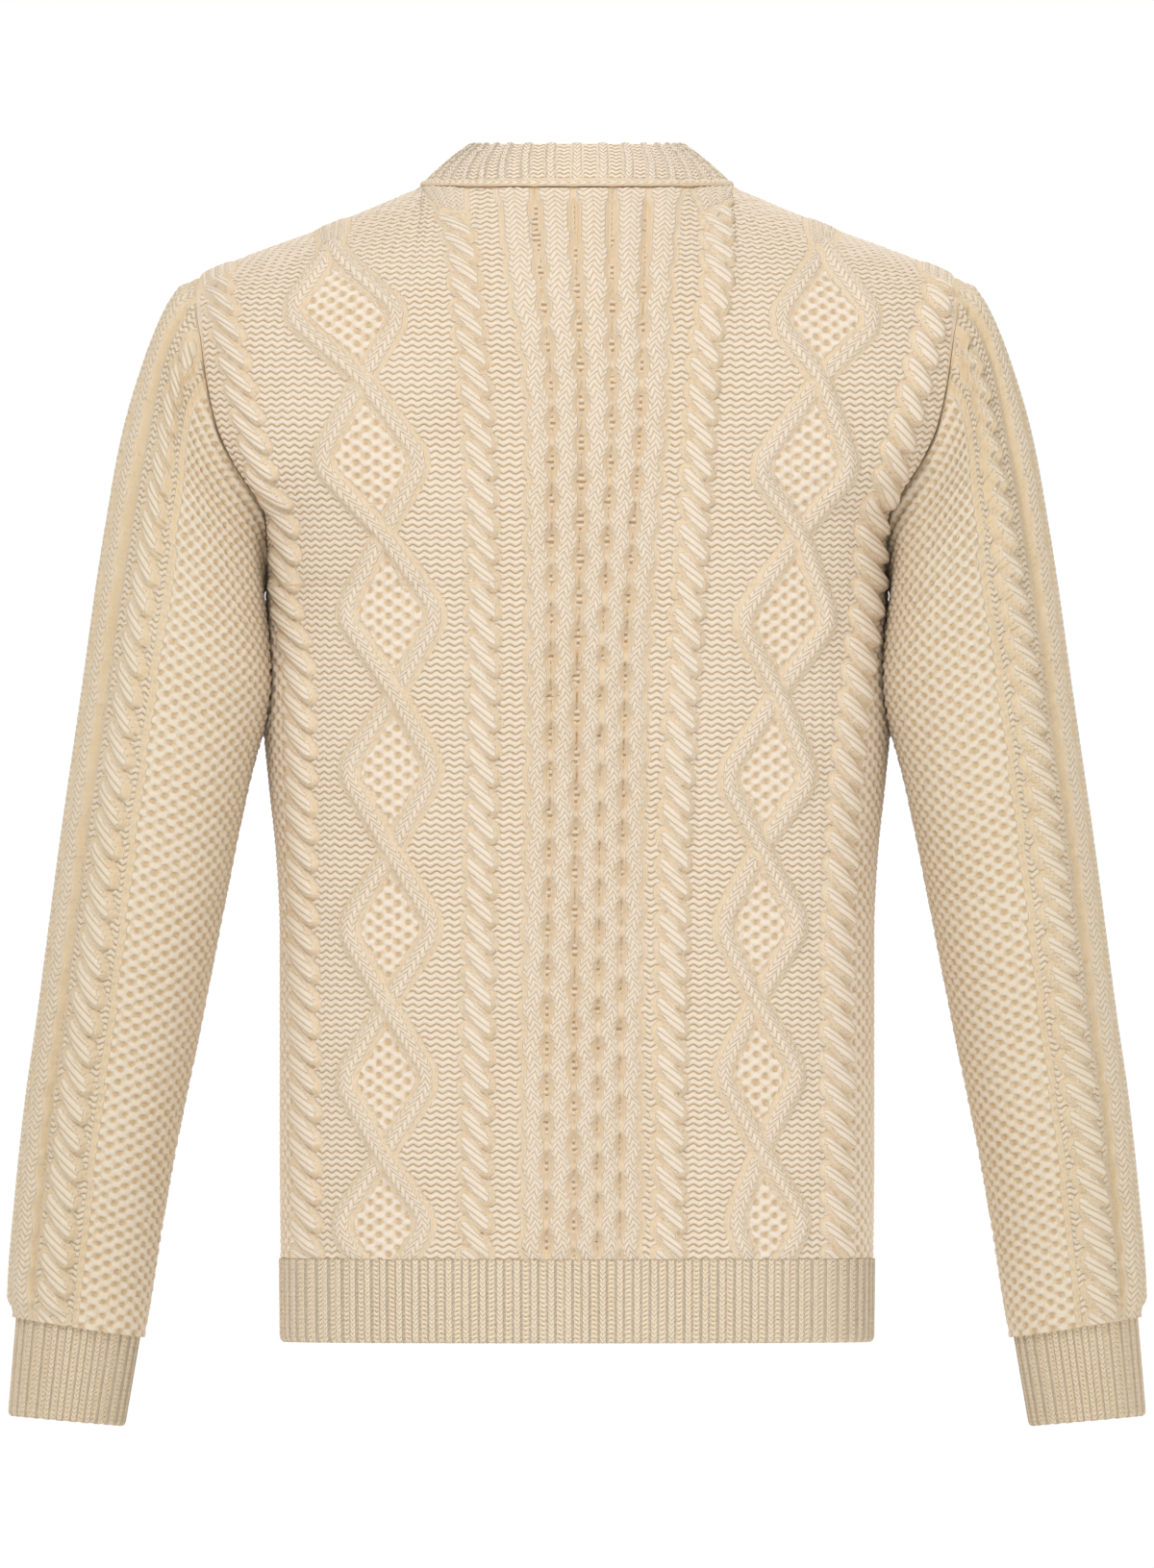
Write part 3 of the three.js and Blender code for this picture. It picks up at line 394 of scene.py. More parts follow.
def panel_fabric(side, x, z, row, to_top, across):
    """The knitted pattern of a panel, as seen from its own outer side."""
    x = side * x
    fabric = new_fabric(x.shape)
    drift = 0.1 * np.sin(x / 17 + 1.3) * np.sin(z / 23) + 0.07 * np.sin(x / 7.3 + z / 11)
    v = row / ROW + drift
    lay(fabric, -0.2 + 0 * x, 1.5, PURL, across / PURL_WALE, v)

    for rope in OUTER_ROPES:
        sign = np.sign(rope[0][1])
        line = sign * np.minimum(sign * curve(rope)(z), edge_x(side, z) - 10)
        beyond = sign * (x - line) - 6.5
        relief = np.where((beyond > 0) & (z < UNDERARM), -0.15, ABSENT)
        lay(fabric, relief, 1.3, MOSS, across / MOSS_WALE, v)
        fan = 1 - ease(to_top, 24, 34)
        lay_rope(fabric, x - line, row, 0.9, fan)
        lay_fan(fabric, x - line, 6.5 + 4 * fan, fan, v)
    for rope in INNER_ROPES:
        line = curve(rope)(z)
        fan = 1 - ease(to_top, 22, 34)
        lay_rope(fabric, x - line, row, 1.0, fan)
        lay_fan(fabric, x - line, 7.5 + 6 * (1 - ease(to_top, 0, 34)), fan, v)

    for crossings, corners in DIAMONDS:
        paths = [strand_path(crossings, corners, first, z) for first in (0, 1)]
        low = np.minimum(paths[0][0], paths[1][0])
        high = np.maximum(paths[0][0], paths[1][0])
        inside = (x > low) & (x < high) & (z < crossings[0][0])
        lay(fabric, np.where(inside, 0.1, ABSENT), 1.8, MOSS, across / MOSS_WALE, v)
        for path, slope, top in paths:
            half = DIAMOND_STRAND_HALF * np.sqrt(1 + slope**2)
            height = np.where(z < crossings[0][0] + 3, DIAMOND_RELIEF + 1.4 * top, ABSENT)
            lay_cord(fabric, x - path, half, height, row)
        above = z >= crossings[0][0]
        half = 6.5 + 3.5 * ease(z, crossings[0][0], -20)
        lay_fan(fabric, x - crossings[0][1], half, np.where(above, 1, 0), v)

    lines = [curve(wave)(z) for wave in WAVES]
    middle = (x < lines[0]) & (x > lines[-1])
    lay_ladder(fabric, middle, v)
    for i, line in enumerate(lines):
        away = [abs(line - other) for other in lines[max(0, i - 1): i] + lines[i + 1: i + 2]]
        half = np.clip(0.405 * np.minimum.reduce(away), 5.6, 8.4)
        closing = 1 - ease(to_top, 7, 16)
        sway = 1.5 * (-1) ** i * np.cos(2 * np.pi * (row - WAVE_OPEN) / WAVE_PERIOD)
        sway = sway * ease(to_top, 6, 90)
        half = half * (1 + 0.28 * closing)
        lay_cord(fabric, x - line - sway, half, WAVE_RELIEF - 1.9 * closing, row, 0.3)
    return fabric


SEAM_WIDTH = 2.6
SEAM_SINK = 0.5
SEAM_SHADE = 0.28
JOIN_JUMP = 0.4  # stitches
JOIN_SHADE = 0.42
NO_SEAM = 9  # mm, too far from a seam to be drawn in by it


def finish_fabric(fabric, to_seam):
    """Height over the ground, the stitch coordinates, and the shares that the wool reads.
    Points where one pattern gives way to another get painted shade, and the wool is plain there."""
    seam = ease(to_seam, 0, SEAM_WIDTH)
    height = fabric["relief"] + fabric["depth"] * fabric["stitch"]
    height = height * seam - SEAM_SINK * (1 - seam)
    # Painted shade: the hollows that each pattern brings, the crease of the sunk seam, and the
    # points where patterns meet
    dark = np.maximum(fabric["painted_shade"], SEAM_SHADE * (1 - ease(to_seam, 0, 1.4)))
    step = [
        {key: np.abs(np.diff(fabric[key], axis=axis)) for key in ("layer", "u", "v")}
        for axis in (0, 1)
    ]
    down, over = ((gap["layer"] != 0) & (gap["u"] + gap["v"] > JOIN_JUMP) for gap in step)
    joined = np.zeros(height.shape, bool)
    joined[1:] |= down
    joined[:-1] |= down
    joined[:, 1:] |= over
    joined[:, :-1] |= over
    dark = np.maximum(dark, JOIN_SHADE * joined)
    masks = [(fabric["kind"] == kind) & (fabric["ladder"] == 0) for kind in (KNIT, PURL)]
    tint = np.stack([dark, *masks, fabric["ladder"]], -1).astype(np.float32)
    return height, np.stack([fabric["u"], fabric["v"]], -1), tint


def grid_normals(points, tube=False):
    """Unit directions square to a grid of points: the columns' way crossed with the rows' way."""
    if tube:
        ring = np.concatenate([points[:, -2:-1], points, points[:, 1:2]], 1)
        du = ring[:, 2:] - ring[:, :-2]
    else:
        du = np.gradient(points, axis=1)
    normal = np.cross(du, np.gradient(points, axis=0))
    return normal / np.maximum(np.linalg.norm(normal, axis=-1, keepdims=True), 1e-9)


def tube_walls(points, height):
    """Outer and inner points of a tube's wall, its last column on its first."""
    normal = grid_normals(points, tube=True)
    outer, inner = points + height[..., None] * normal, points - WALL * normal
    outer[:, -1], inner[:, -1] = outer[:, 0], inner[:, 0]
    return outer, inner


def mirrored(outer, inner, uv, tint):
    """The same wall for the other side of the body."""
    flip = np.array([-1, 1, 1])
    return outer[:, ::-1] * flip, inner[:, ::-1] * flip, uv[:, ::-1], tint[:, ::-1]


# The inner side: painted shade of 0.2 all over, purl stitches, no ladder
INNER_TINT = (0.2, 0, 1, 0)


def make_cloth(name, outer, inner, uv, tint, coarse, tube=False):
    """A thin closed wall: a fine knitted outer side and a plain inner side with fewer points,
    joined at the rims."""
    rows, columns = outer.shape[0] - 1, outer.shape[1] - 1
    bpy.ops.mesh.primitive_grid_add(x_subdivisions=columns, y_subdivisions=rows)
    piece = bpy.context.object
    piece.name = piece.data.name = name
    mesh = piece.data
    place = np.empty(len(mesh.vertices) * 3)
    mesh.vertices.foreach_get("co", place)
    place = place.reshape(-1, 3)
    i = np.rint((place[:, 0] + 1) / 2 * columns).astype(int)
    j = np.rint((place[:, 1] + 1) / 2 * rows).astype(int)
    mesh.vertices.foreach_set("co", (outer[j, i] / 1000).ravel())
    mesh.color_attributes.new("knit", "FLOAT_COLOR", "POINT")
    mesh.color_attributes["knit"].data.foreach_set("color", tint[j, i].ravel())
    corners = np.empty(len(mesh.loops), int)
    mesh.loops.foreach_get("vertex_index", corners)
    mesh.uv_layers[0].data.foreach_set("uv", uv[j, i][corners].ravel())
    number = np.empty((rows + 1, columns + 1), int)
    number[j, i] = np.arange(len(i))

    bm = bmesh.new()
    bm.from_mesh(mesh)
    bm.verts.ensure_lookup_table()
    outside = [[bm.verts[k] for k in line] for line in number]
    shade = bm.verts.layers.float_color["knit"]
    step_i, step_j = coarse
    inside = []
    for row in range(0, rows + 1, step_j):
        inside.append([bm.verts.new(spot) for spot in inner[row, ::step_i] / 1000])
        for vert in inside[-1]:
            vert[shade] = INNER_TINT
    for a, b in zip(inside, inside[1:]):
        for k in range(len(a) - 1):
            bm.faces.new((a[k], b[k], b[k + 1], a[k + 1]))
    edges = [(outside[0], inside[0], step_i), (outside[-1], inside[-1], step_i)]
    if not tube:
        for end in (0, -1):
            fine_side = [line[end] for line in outside]
            edges.append((fine_side, [line[end] for line in inside], step_j))
    for fine, plain, step in edges:
        for k in range(len(plain) - 1):
            rim = bm.faces.new([*fine[k * step: k * step + step + 1], plain[k + 1], plain[k]])
            for edge in rim.edges:
                edge.smooth = False
    if tube:
        bmesh.ops.weld_verts(bm, targetmap={line[-1]: line[0] for line in outside + inside})
    bmesh.ops.recalc_face_normals(bm, faces=bm.faces)
    for face in bm.faces:
        face.smooth = True
    bm.to_mesh(mesh)
    bm.free()
    piece.select_set(False)
    return piece


def wool(name, light, dark):
    """Matte undyed wool: pale yarn with painted tan shade in the hollows between its stitches,
    relief and fuzz. The knit attribute holds painted crevice shade, knit and purl shares, and the
    ladder share as alpha."""
    material = bpy.data.materials.new(name)
    material.use_nodes = True
    tree = material.node_tree
    shader = tree.nodes["Principled BSDF"]
    shader.inputs["Roughness"].default_value = 0.92
    shader.inputs["Specular IOR Level"].default_value = 0.15
    shader.inputs["Sheen Weight"].default_value = 0.06
    shader.inputs["Sheen Roughness"].default_value = 0.6
    shader.inputs["Sheen Tint"].default_value = (1, 0.82, 0.6, 1)

    def math_node(operation, a, b=0.0, c=0.0):
        made = tree.nodes.new("ShaderNodeMath")
        made.operation = operation
        for socket, value in zip(made.inputs, (a, b, c)):
            if isinstance(value, (int, float)):
                socket.default_value = value
            else:
                tree.links.new(value, socket)
        return made.outputs[0]

    def smooth(value, low, high):
        made = tree.nodes.new("ShaderNodeMapRange")
        made.interpolation_type = "SMOOTHSTEP"
        made.inputs["From Min"].default_value = low
        made.inputs["From Max"].default_value = high
        tree.links.new(value, made.inputs["Value"])
        return made.outputs[0]

    attribute = tree.nodes.new("ShaderNodeAttribute")
    attribute.attribute_name = "knit"
    split = tree.nodes.new("ShaderNodeSeparateColor")
    tree.links.new(attribute.outputs["Color"], split.inputs[0])
    crevice_shade, is_knit, is_purl = split.outputs
    is_ladder = attribute.outputs["Alpha"]
    is_moss = math_node("SUBTRACT", math_node("SUBTRACT", 1.0, is_knit), is_purl)
    is_moss = math_node("SUBTRACT", is_moss, is_ladder)
    uv = tree.nodes.new("ShaderNodeUVMap")
    uv.uv_map = "UVMap"
    parts = tree.nodes.new("ShaderNodeSeparateXYZ")
    tree.links.new(uv.outputs[0], parts.inputs[0])
    u, v = parts.outputs[0], parts.outputs[1]

    place = tree.nodes.new("ShaderNodeTexCoord").outputs["Object"]
    noises = []
    for scale, detail in ((1100.0, 3.0), (300.0, 2.0), (22.0, 2.0)):
        noise = tree.nodes.new("ShaderNodeTexNoise")
        noise.inputs["Scale"].default_value = scale
        noise.inputs["Detail"].default_value = detail
        tree.links.new(place, noise.inputs["Vector"])
        noises.append(math_node("SUBTRACT", noise.outputs[0], 0.5))
    fibre, strand, patch = noises

    # Height of the stitches, 0 to 1, by kind
    out = math_node("ABSOLUTE", math_node("MULTIPLY_ADD", math_node("FRACT", u), 2.0, -1.0))
    leg = math_node("FRACT", math_node("MULTIPLY_ADD", out, -LEAN, v))
    knit_height = math_node(
        "MULTIPLY",
        math_node("SINE", math_node("MULTIPLY", leg, math.pi)),
        math_node("SINE", math_node("MULTIPLY_ADD", out, 2.5, 0.32)),
    )
    knit_height = math_node("POWER", knit_height, 0.6)
    wave = math_node("COSINE", math_node("MULTIPLY", u, 2 * math.pi))
    wave = math_node("MULTIPLY_ADD", wave, 0.2, v)
    purl_height = math_node("SINE", math_node("MULTIPLY", math_node("FRACT", wave), math.pi))
    across = math_node("SINE", math_node("MULTIPLY", u, math.pi))
    chequer = math_node("MULTIPLY", across, math_node("SINE", math_node("MULTIPLY", v, math.pi)))
    pits = math_node("MAXIMUM", math_node("MULTIPLY", chequer, -1.0), 0.0)
    split_leg = math_node("ABSOLUTE", math_node("COSINE", math_node("MULTIPLY", u, math.pi)))
    legs = math_node("MULTIPLY", math_node("POWER", pits, 0.6), split_leg)
    uneven = math_node("MULTIPLY_ADD", strand, 1.5, chequer)
    moss_height = math_node("MULTIPLY_ADD", legs, 0.4, smooth(uneven, -0.75, 0.5))
    rung = math_node("COSINE", math_node("MULTIPLY", v, 2 * math.pi))
    rung = math_node("MULTIPLY_ADD", rung, 0.5, 0.5)
    stitches = math_node("MULTIPLY", knit_height, is_knit)
    stitches = math_node("MULTIPLY_ADD", purl_height, is_purl, stitches)
    stitches = math_node("MULTIPLY_ADD", moss_height, is_moss, stitches)
    stitches = math_node("MULTIPLY_ADD", rung, is_ladder, stitches)

    # Painted tan shade in the hollows: deep between moss bumps and rungs, lighter between knit
    # legs
    gap = math_node("SUBTRACT", 1.0, smooth(stitches, 0.05, 0.8))
    weight = math_node("MULTIPLY_ADD", is_knit, -0.18, 0.82)
    weight = math_node("MULTIPLY_ADD", is_moss, -0.12, weight)
    weight = math_node("MULTIPLY_ADD", is_ladder, 0.18, weight)
    # Painted crevice shade from the attribute takes over from the stitch shade and the bump
    flat_edge = math_node("SUBTRACT", 1.0, smooth(crevice_shade, 0.02, 0.22))
    shade = math_node("MULTIPLY", math_node("MULTIPLY", gap, weight), flat_edge)
    shade = math_node("MAXIMUM", shade, crevice_shade)
    shade = math_node("MULTIPLY_ADD", fibre, 0.3, shade)
    shade = math_node("MULTIPLY_ADD", strand, 0.22, shade)
    shade = math_node("MULTIPLY_ADD", patch, 0.22, shade)
    # From the yarn's own colour, through a painted half shade, to the painted shade of the
    # hollows
    ramp = tree.nodes.new("ShaderNodeValToRGB")
    ramp.color_ramp.elements[0].color = (*light, 1)
    ramp.color_ramp.elements[0].position = 0.0
    ramp.color_ramp.elements[1].color = (*dark, 1)
    ramp.color_ramp.elements[1].position = 1.0
    half_shade = ramp.color_ramp.elements.new(0.45)
    half_shade.color = (light[0] * 0.93, light[1] * 0.84, light[2] * 0.69, 1)
    tree.links.new(shade, ramp.inputs[0])
    tree.links.new(ramp.outputs[0], shader.inputs["Base Color"])

    relief = tree.nodes.new("ShaderNodeBump")
    relief.inputs["Strength"].default_value = 0.7
    relief.inputs["Distance"].default_value = 0.0012
    tree.links.new(math_node("MULTIPLY", stitches, flat_edge), relief.inputs["Height"])
    fuzz = tree.nodes.new("ShaderNodeBump")
    fuzz.inputs["Strength"].default_value = 0.5
    fuzz.inputs["Distance"].default_value = 0.0006
    tree.links.new(math_node("MULTIPLY_ADD", strand, 1.2, fibre), fuzz.inputs["Height"])
    tree.links.new(relief.outputs[0], fuzz.inputs["Normal"])
    tree.links.new(fuzz.outputs[0], shader.inputs["Normal"])
    return material


# Colour of the painted shade in the hollows
HOLLOW_SHADE = (0.43, 0.285, 0.15)
body_wool = wool("body_wool", (0.765, 0.665, 0.545), HOLLOW_SHADE)


def make_panel(side, across, rows_below, rows_above, names, coarse):
    """One panel, cut into two halves at its middle column. The front's columns run the other
    way, so that both panels face out."""
    grid = panel_grid(side, across, rows_below, rows_above)
    points, x, z, row, to_top = (part[:, ::side] for part in grid)
    along = run_length(points, axis=1)
    middle = across // 2
    from_middle = along[:, middle: middle + 1] - along
    to_side = np.minimum(along, along[:, -1:] - along)
    fabric = panel_fabric(side, x, z, row, to_top, from_middle)
    fabric["relief"] = fabric["relief"] * ease(row - HEM_TOP, -3, 7)
    height, uv, tint = finish_fabric(fabric, np.minimum(to_side, to_top))
    normal = grid_normals(points)
    outer = points + height[..., None] * normal
    inner = points - WALL * normal
    halves = []
    for name, part in zip(names, (slice(0, middle + 1), slice(middle, across + 1))):
        grids = [grid[:, part] for grid in (outer, inner, uv, tint)]
        piece = make_cloth(name, *grids, coarse)
        piece.data.materials.append(body_wool)
        halves.append(piece)
    return halves


# 174 + 174 columns of about 1.35 mm, 3 rows of points for each knitted row
back_halves = make_panel(1, 348, 396, 108, ("back_left", "back_right"), (6, 6))
for half in back_halves:
    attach(half, "root")
    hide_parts("back_panel")

# The front: knitted and sewn like the back, with a neckline that is scooped out 80 mm deep.
# The photograph doesn't show it, so it has the same cables as the back.
front_halves = make_panel(-1, 216, 396, 108, ("front_right", "front_left"), (6, 6))
for half in front_halves:
    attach(half, "root")
    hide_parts("front_panel")

# The sleeves: each one knitted as a flat piece and sewn into a tube, then sewn into its
# armhole. Waves run down the outside from the shoulder, a rope on each side of them, and moss
# stitch fills the rest. Both are the same, mirrored.
# Along, outer x and z, inner x and z, middle y and half depth
SLEEVE = [
    (0, 216, -51.2, 177, -228, 0, 52),
    (12, 224.5, -59.4, 179.5, -231.5, 1, 53),
    (27, 232.5, -72, 180, -237, 3, 55),
    (62, 245, -103.4, 177, -249, 8, 60),
    (107, 256.5, -143.6, 174, -264, 13, 64),
    (160, 266, -196.4, 173, -284, 17, 66),
    (196, 271.5, -232, 176.5, -301, 18, 66),
    (241, 277.5, -276, 184, -324, 18, 65),
    (294, 285, -328.4, 192.5, -360, 16, 62.5),
    (342, 291.8, -375.7, 200.5, -400, 12, 59.5),
    (375, 296.2, -409, 206.5, -431, 9, 57),
    (443, 305, -475.8, 219, -494, -4, 51.5),
    (490, 311.8, -522.5, 228, -537, -14, 47),
    (542, 317.4, -574, 237, -586, -27, 42.5),
    (597, 322, -628, 245.5, -639, -41, 38.5),
    (616, 322.6, -646.3, 248.8, -657.8, -45, 38),
]
SLEEVE_LENGTH = 616
SLEEVE_ROPE_PITCH = 17.5
SEAM_FADE = 110  # the armhole's own shape fades out over this length
BODY_CLEARANCE = 3.2
SLEEVE_PURL_WALE = 6.4
SLEEVE_MOSS_WALE = 6.1
# Lines down a sleeve, in degrees from its shoulder line. The middle wave is a hair off 0, so
# that it has a side to count from.
WAVE_LINES = (-24.0, 0.0001, 24.0)
LADDER_LINE = 12.0
GUTTER_LINE = 36.0
ROPE_LINE = 56.0
MOSS_LINE = 67.0
sleeve_curves = [curve(SLEEVE, i) for i in range(1, 7)]


def plain_ring(along, angle):
    """A ring of the left sleeve: 0 at the shoulder line, pi / 2 at the back."""
    values = (at(along) for at in sleeve_curves)
    outer_x, outer_z, inner_x, inner_z, middle_y, half_depth = values
    cos = np.cos(angle)
    x = (outer_x + inner_x) / 2 + (outer_x - inner_x) / 2 * cos
    z = (outer_z + inner_z) / 2 + (outer_z - inner_z) / 2 * cos
    return np.stack([x, middle_y + half_depth * np.sin(angle), z], -1)


def armhole_drift(angle):
    """How far the armhole seam lies from the plain first ring, at angles from -pi to pi."""
    rows = []
    for side in (1, -1):
        z = np.linspace(SHOULDER_POINT, UNDERARM, 240)
        seat = ground(side, edge_x(side, z), z)
        shoulder, low = plain_ring(np.array(0), np.array([0, np.pi]))
        centre, out = (shoulder + low) / 2, (shoulder - low) / 2
        turned = np.arctan2(seat[:, 1] / SLEEVE[0][6], (seat - centre) @ out / (out @ out))
        turned[0], turned[-1] = 0, side * np.pi
        drift = seat - plain_ring(np.zeros(240), turned)
        rows += list(zip(turned, drift))
    rows.sort(key=lambda row: row[0])
    keys = [row[0] for row in rows]
    parts = [[row[1][axis] for row in rows] for axis in range(3)]
    return np.stack([np.interp(angle, keys, part) for part in parts], -1)


def sleeve_ground(along, angle):
    """Points of the left sleeve, sewn to the armhole and pushed clear of the body."""
    fade = 1 - ease(along, 0, SEAM_FADE)
    points = plain_ring(along, angle) + armhole_drift(angle) * fade[..., None]
    x, y, z = np.moveaxis(points, -1, 0)
    n = squareness(z)
    clearance = BODY_CLEARANCE * ease(along, 0, 16)
    depth = np.where(y > 0, back_depth(z), front_depth(z)) + clearance
    reach = (np.abs(x) / (half_width(z) + clearance)) ** n + (np.abs(y) / depth) ** n
    push = np.where((z < UNDERARM) & (reach < 1), reach ** (-1 / n), 1)
    return np.stack([x * push, y * push, z], -1)


def sleeve_fabric(along, angle, round_mm, row, sign):
    """The pattern of the left sleeve, or of the right one before it is mirrored."""
    fabric = new_fabric(along.shape)
    widening = 1 + 0.17 * ease(along[:, 0], 150, SLEEVE_LENGTH)
    v = row / ROW + 0.12 * np.sin(row / 19 + round_mm / 31)
    to_cuff = SLEEVE_LENGTH - along
    plain_end = ease(np.minimum(to_cuff, along), 4, 12)

    def beyond(degrees):
        """Distance round the sleeve from one of its lines, away from the shoulder line."""
        turns = np.radians(degrees) * widening
        line = [np.interp(turn, angle[0], ring) for turn, ring in zip(turns, round_mm)]
        return np.sign(degrees) * (round_mm - np.array(line)[:, None])

    lay(fabric, -0.2 + 0 * along, 1.4, PURL, round_mm / SLEEVE_PURL_WALE, v)
    for half in (1, -1):
        past_rope = beyond(half * MOSS_LINE)
        is_moss = (past_rope > 6.5) & (np.sign(angle) == half)
        relief = np.where(is_moss, -0.15, ABSENT)
        lay(fabric, relief, 1.6, MOSS, past_rope / SLEEVE_MOSS_WALE, v)
        gutter = beyond(half * GUTTER_LINE)
        lay_ladder(fabric, (np.abs(gutter) < 2.4) & (plain_end > 0.5), v)
        offset = -sign * half * beyond(half * ROPE_LINE)
        lay_rope(fabric, offset, row, 1.12, 1 - plain_end, SLEEVE_ROPE_PITCH)
        between = beyond(half * LADDER_LINE)
        lay_ladder(fabric, (np.abs(between) < 4.0) & (plain_end > 0.5), v)
    for degrees in WAVE_LINES:
        sway = 1.3 * (-1) ** round(degrees / 24) * np.cos(2 * np.pi * row / WAVE_PERIOD)
        offset = beyond(degrees) - sway * plain_end
        lay_cord(fabric, offset, 10.2, 3.2 * plain_end + 0.4, row)
    return fabric


def make_sleeve(name, sign):
    """480 rows of points; the back half of each ring is finer than the front."""
    angles = np.concatenate([np.linspace(-np.pi, -0.16, 46)[:-1], np.linspace(-0.16, np.pi, 96)])
    angle, along = np.meshgrid(angles, np.linspace(SLEEVE_LENGTH, 0, 481))
    points = sleeve_ground(along, angle)
    row = run_length(points)
    round_mm = run_length(points, axis=1)
    round_mm -= np.array([np.interp(0, angles, line) for line in round_mm])[:, None]
    fabric = sleeve_fabric(along, angle, round_mm, row, sign)
    fabric["relief"] = fabric["relief"] * ease(row, -3, 7)
    height, uv, tint = finish_fabric(fabric, row[-1:] - row)
    grids = (*tube_walls(points, height), uv, tint)
    if sign < 0:
        grids = mirrored(*grids)
    return make_cloth(name, *grids, (5, 5), tube=True)


# A darker copy of the body's wool: painted shade over the sleeves
sleeve_wool = wool("sleeve_wool", (0.705, 0.61, 0.48), HOLLOW_SHADE)
for side_name, sign in (("left", 1), ("right", -1)):
    sleeve = make_sleeve(f"{side_name}_sleeve", sign)
    sleeve.data.materials.append(sleeve_wool)
    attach(sleeve, "root")
    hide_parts(f"sleeve_{side_name}")

# The cuffs: tubes in one-and-one rib, a little narrower than the sleeves and knitted on to
# their ends. Ribs of V stitches stand up between troughs of small purl arcs.
RIB_ROW = 2.6
CUFF_RIBS = 26
CUFF_STEP_IN = 2.4
CUFF_TOP = SLEEVE[-1][1:]
CUFF_BOTTOM = (325, -703, 260, -709, -53, 33.5)
CUFF_LENGTH = 54
POINTS_PER_RIB = 6
POINTS_HIGH = 49


def rib_fabric(phase, row, relief, ridge_share, arcs, trough):
    """Ridges of one V wale each, at the middle of each unit of phase, over purl troughs."""
    fabric = new_fabric(phase.shape)
    d = ((phase % 1) - 0.5) / (ridge_share / 2)
    # Painted shade in the troughs beside each ridge
    edge = 0.2 * (1 - ease(np.abs(d), 1.0, 1.7))
    lay(fabric, trough + 0 * phase, 0.7, PURL, phase * arcs, row / RIB_ROW, edge)
    bulge = np.sqrt(np.clip(1 - d * d, 0, 1))
    # Painted shade on the sides of each ridge
    crevice_shade = 0.2 * ease(np.abs(d), 0.7, 1)
    ridge = np.where(np.abs(d) < 1, trough + 0.3 + relief * bulge, ABSENT)
    lay(fabric, ridge, 0.5, KNIT, (1 + d) / 2, row / RIB_ROW, crevice_shade)
    fabric["layer"][:] = 0
    return fabric


def round_end(row, radius):
    """How far a knitted edge rolls in, by the height over its end."""
    t = np.clip(1 - row / radius, 0, 1)
    return radius * 0.55 * (1 - np.sqrt(1 - 0.98 * t * t))


def make_cuff(name, sign):
    """A ribbed tube that goes on from the end of a sleeve."""
    angles = np.linspace(-np.pi, np.pi, CUFF_RIBS * POINTS_PER_RIB + 1)
    angle, share = np.meshgrid(angles, np.linspace(1, 0, POINTS_HIGH))
    top, bottom = np.array(CUFF_TOP), np.array(CUFF_BOTTOM)
    outer_x, outer_z, inner_x, inner_z, middle_y, half_depth = (
        top[i] + (bottom[i] - top[i]) * share for i in range(6)
    )
    width = np.hypot(outer_x - inner_x, outer_z - inner_z)
    narrowed = (width / 2 - CUFF_STEP_IN * (1 - share)) / width * 2
    cos = np.cos(angle) * narrowed
    x = (outer_x + inner_x) / 2 + (outer_x - inner_x) / 2 * cos
    z = (outer_z + inner_z) / 2 + (outer_z - inner_z) / 2 * cos
    y = middle_y + (half_depth - CUFF_STEP_IN * (1 - share)) * np.sin(angle)
    points = np.stack([x, y, z], -1)
    row = (1 - share) * CUFF_LENGTH
    fabric = rib_fabric(angle / (2 * np.pi) * CUFF_RIBS + 0.5, row, 1.5, 0.62, 1.6, -0.9)
    height, uv, tint = finish_fabric(fabric, NO_SEAM + 0 * row)
    height = height - round_end(row, 3.5)
    grids = (*tube_walls(points, height), uv, tint)
    if sign < 0:
        grids = mirrored(*grids)
    return make_cloth(name, *grids, (6, 6), tube=True)


# A darker copy of the body's wool: painted shade over the cuffs
cuff_wool = wool("cuff_wool", (0.735, 0.62, 0.465), HOLLOW_SHADE)
for side_name, sign in (("left", 1), ("right", -1)):
    cuff = make_cuff(f"{side_name}_cuff", sign)
    cuff.data.materials.append(cuff_wool)
    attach(cuff, "root")
    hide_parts(f"cuff_{side_name}")

# The hem: a ribbed band below each panel, knitted on to it, 46 ribs on each half.
HEM_BOTTOM = -660
HEM_RIBS = 46
hem_wool = wool("hem_wool", (0.79, 0.68, 0.53), HOLLOW_SHADE)


def make_hem(name, side):
    """Half of the hem, from one side seam to the other."""
    columns = HEM_RIBS * POINTS_PER_RIB + 1
    fine = np.sin(np.linspace(1, -1, FINE) * np.pi / 2)
    section = ground(side, half_width(np.array(HEM_TOP)) * fine, HEM_TOP + 0 * fine)
    share = np.interp(spread(section, columns), np.linspace(0, 1, FINE), fine)
    share, z = np.meshgrid(share, np.linspace(HEM_BOTTOM, HEM_TOP - 0.3, POINTS_HIGH))
    points = ground(side, share * half_width(z), z)
    row = z - HEM_BOTTOM
    phase = np.linspace(0, HEM_RIBS, columns) + 0 * z
    fabric = rib_fabric(phase, row, 1.6, 0.54, 1.9, 0.0)
    height, uv, tint = finish_fabric(fabric, NO_SEAM + 0 * row)
    height = height - round_end(row, 4.4)
    normal = side * grid_normals(points)
    outer, inner = points + height[..., None] * normal, points - WALL * normal
    piece = make_cloth(name, outer, inner, uv, tint, (6, 6))
    piece.data.materials.append(hem_wool)
    return piece


for side_name, side in (("back", 1), ("front", -1)):
    hem = make_hem(f"{side_name}_hem", side)
    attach(hem, "root")
    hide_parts(f"hem_rib_{side_name}")

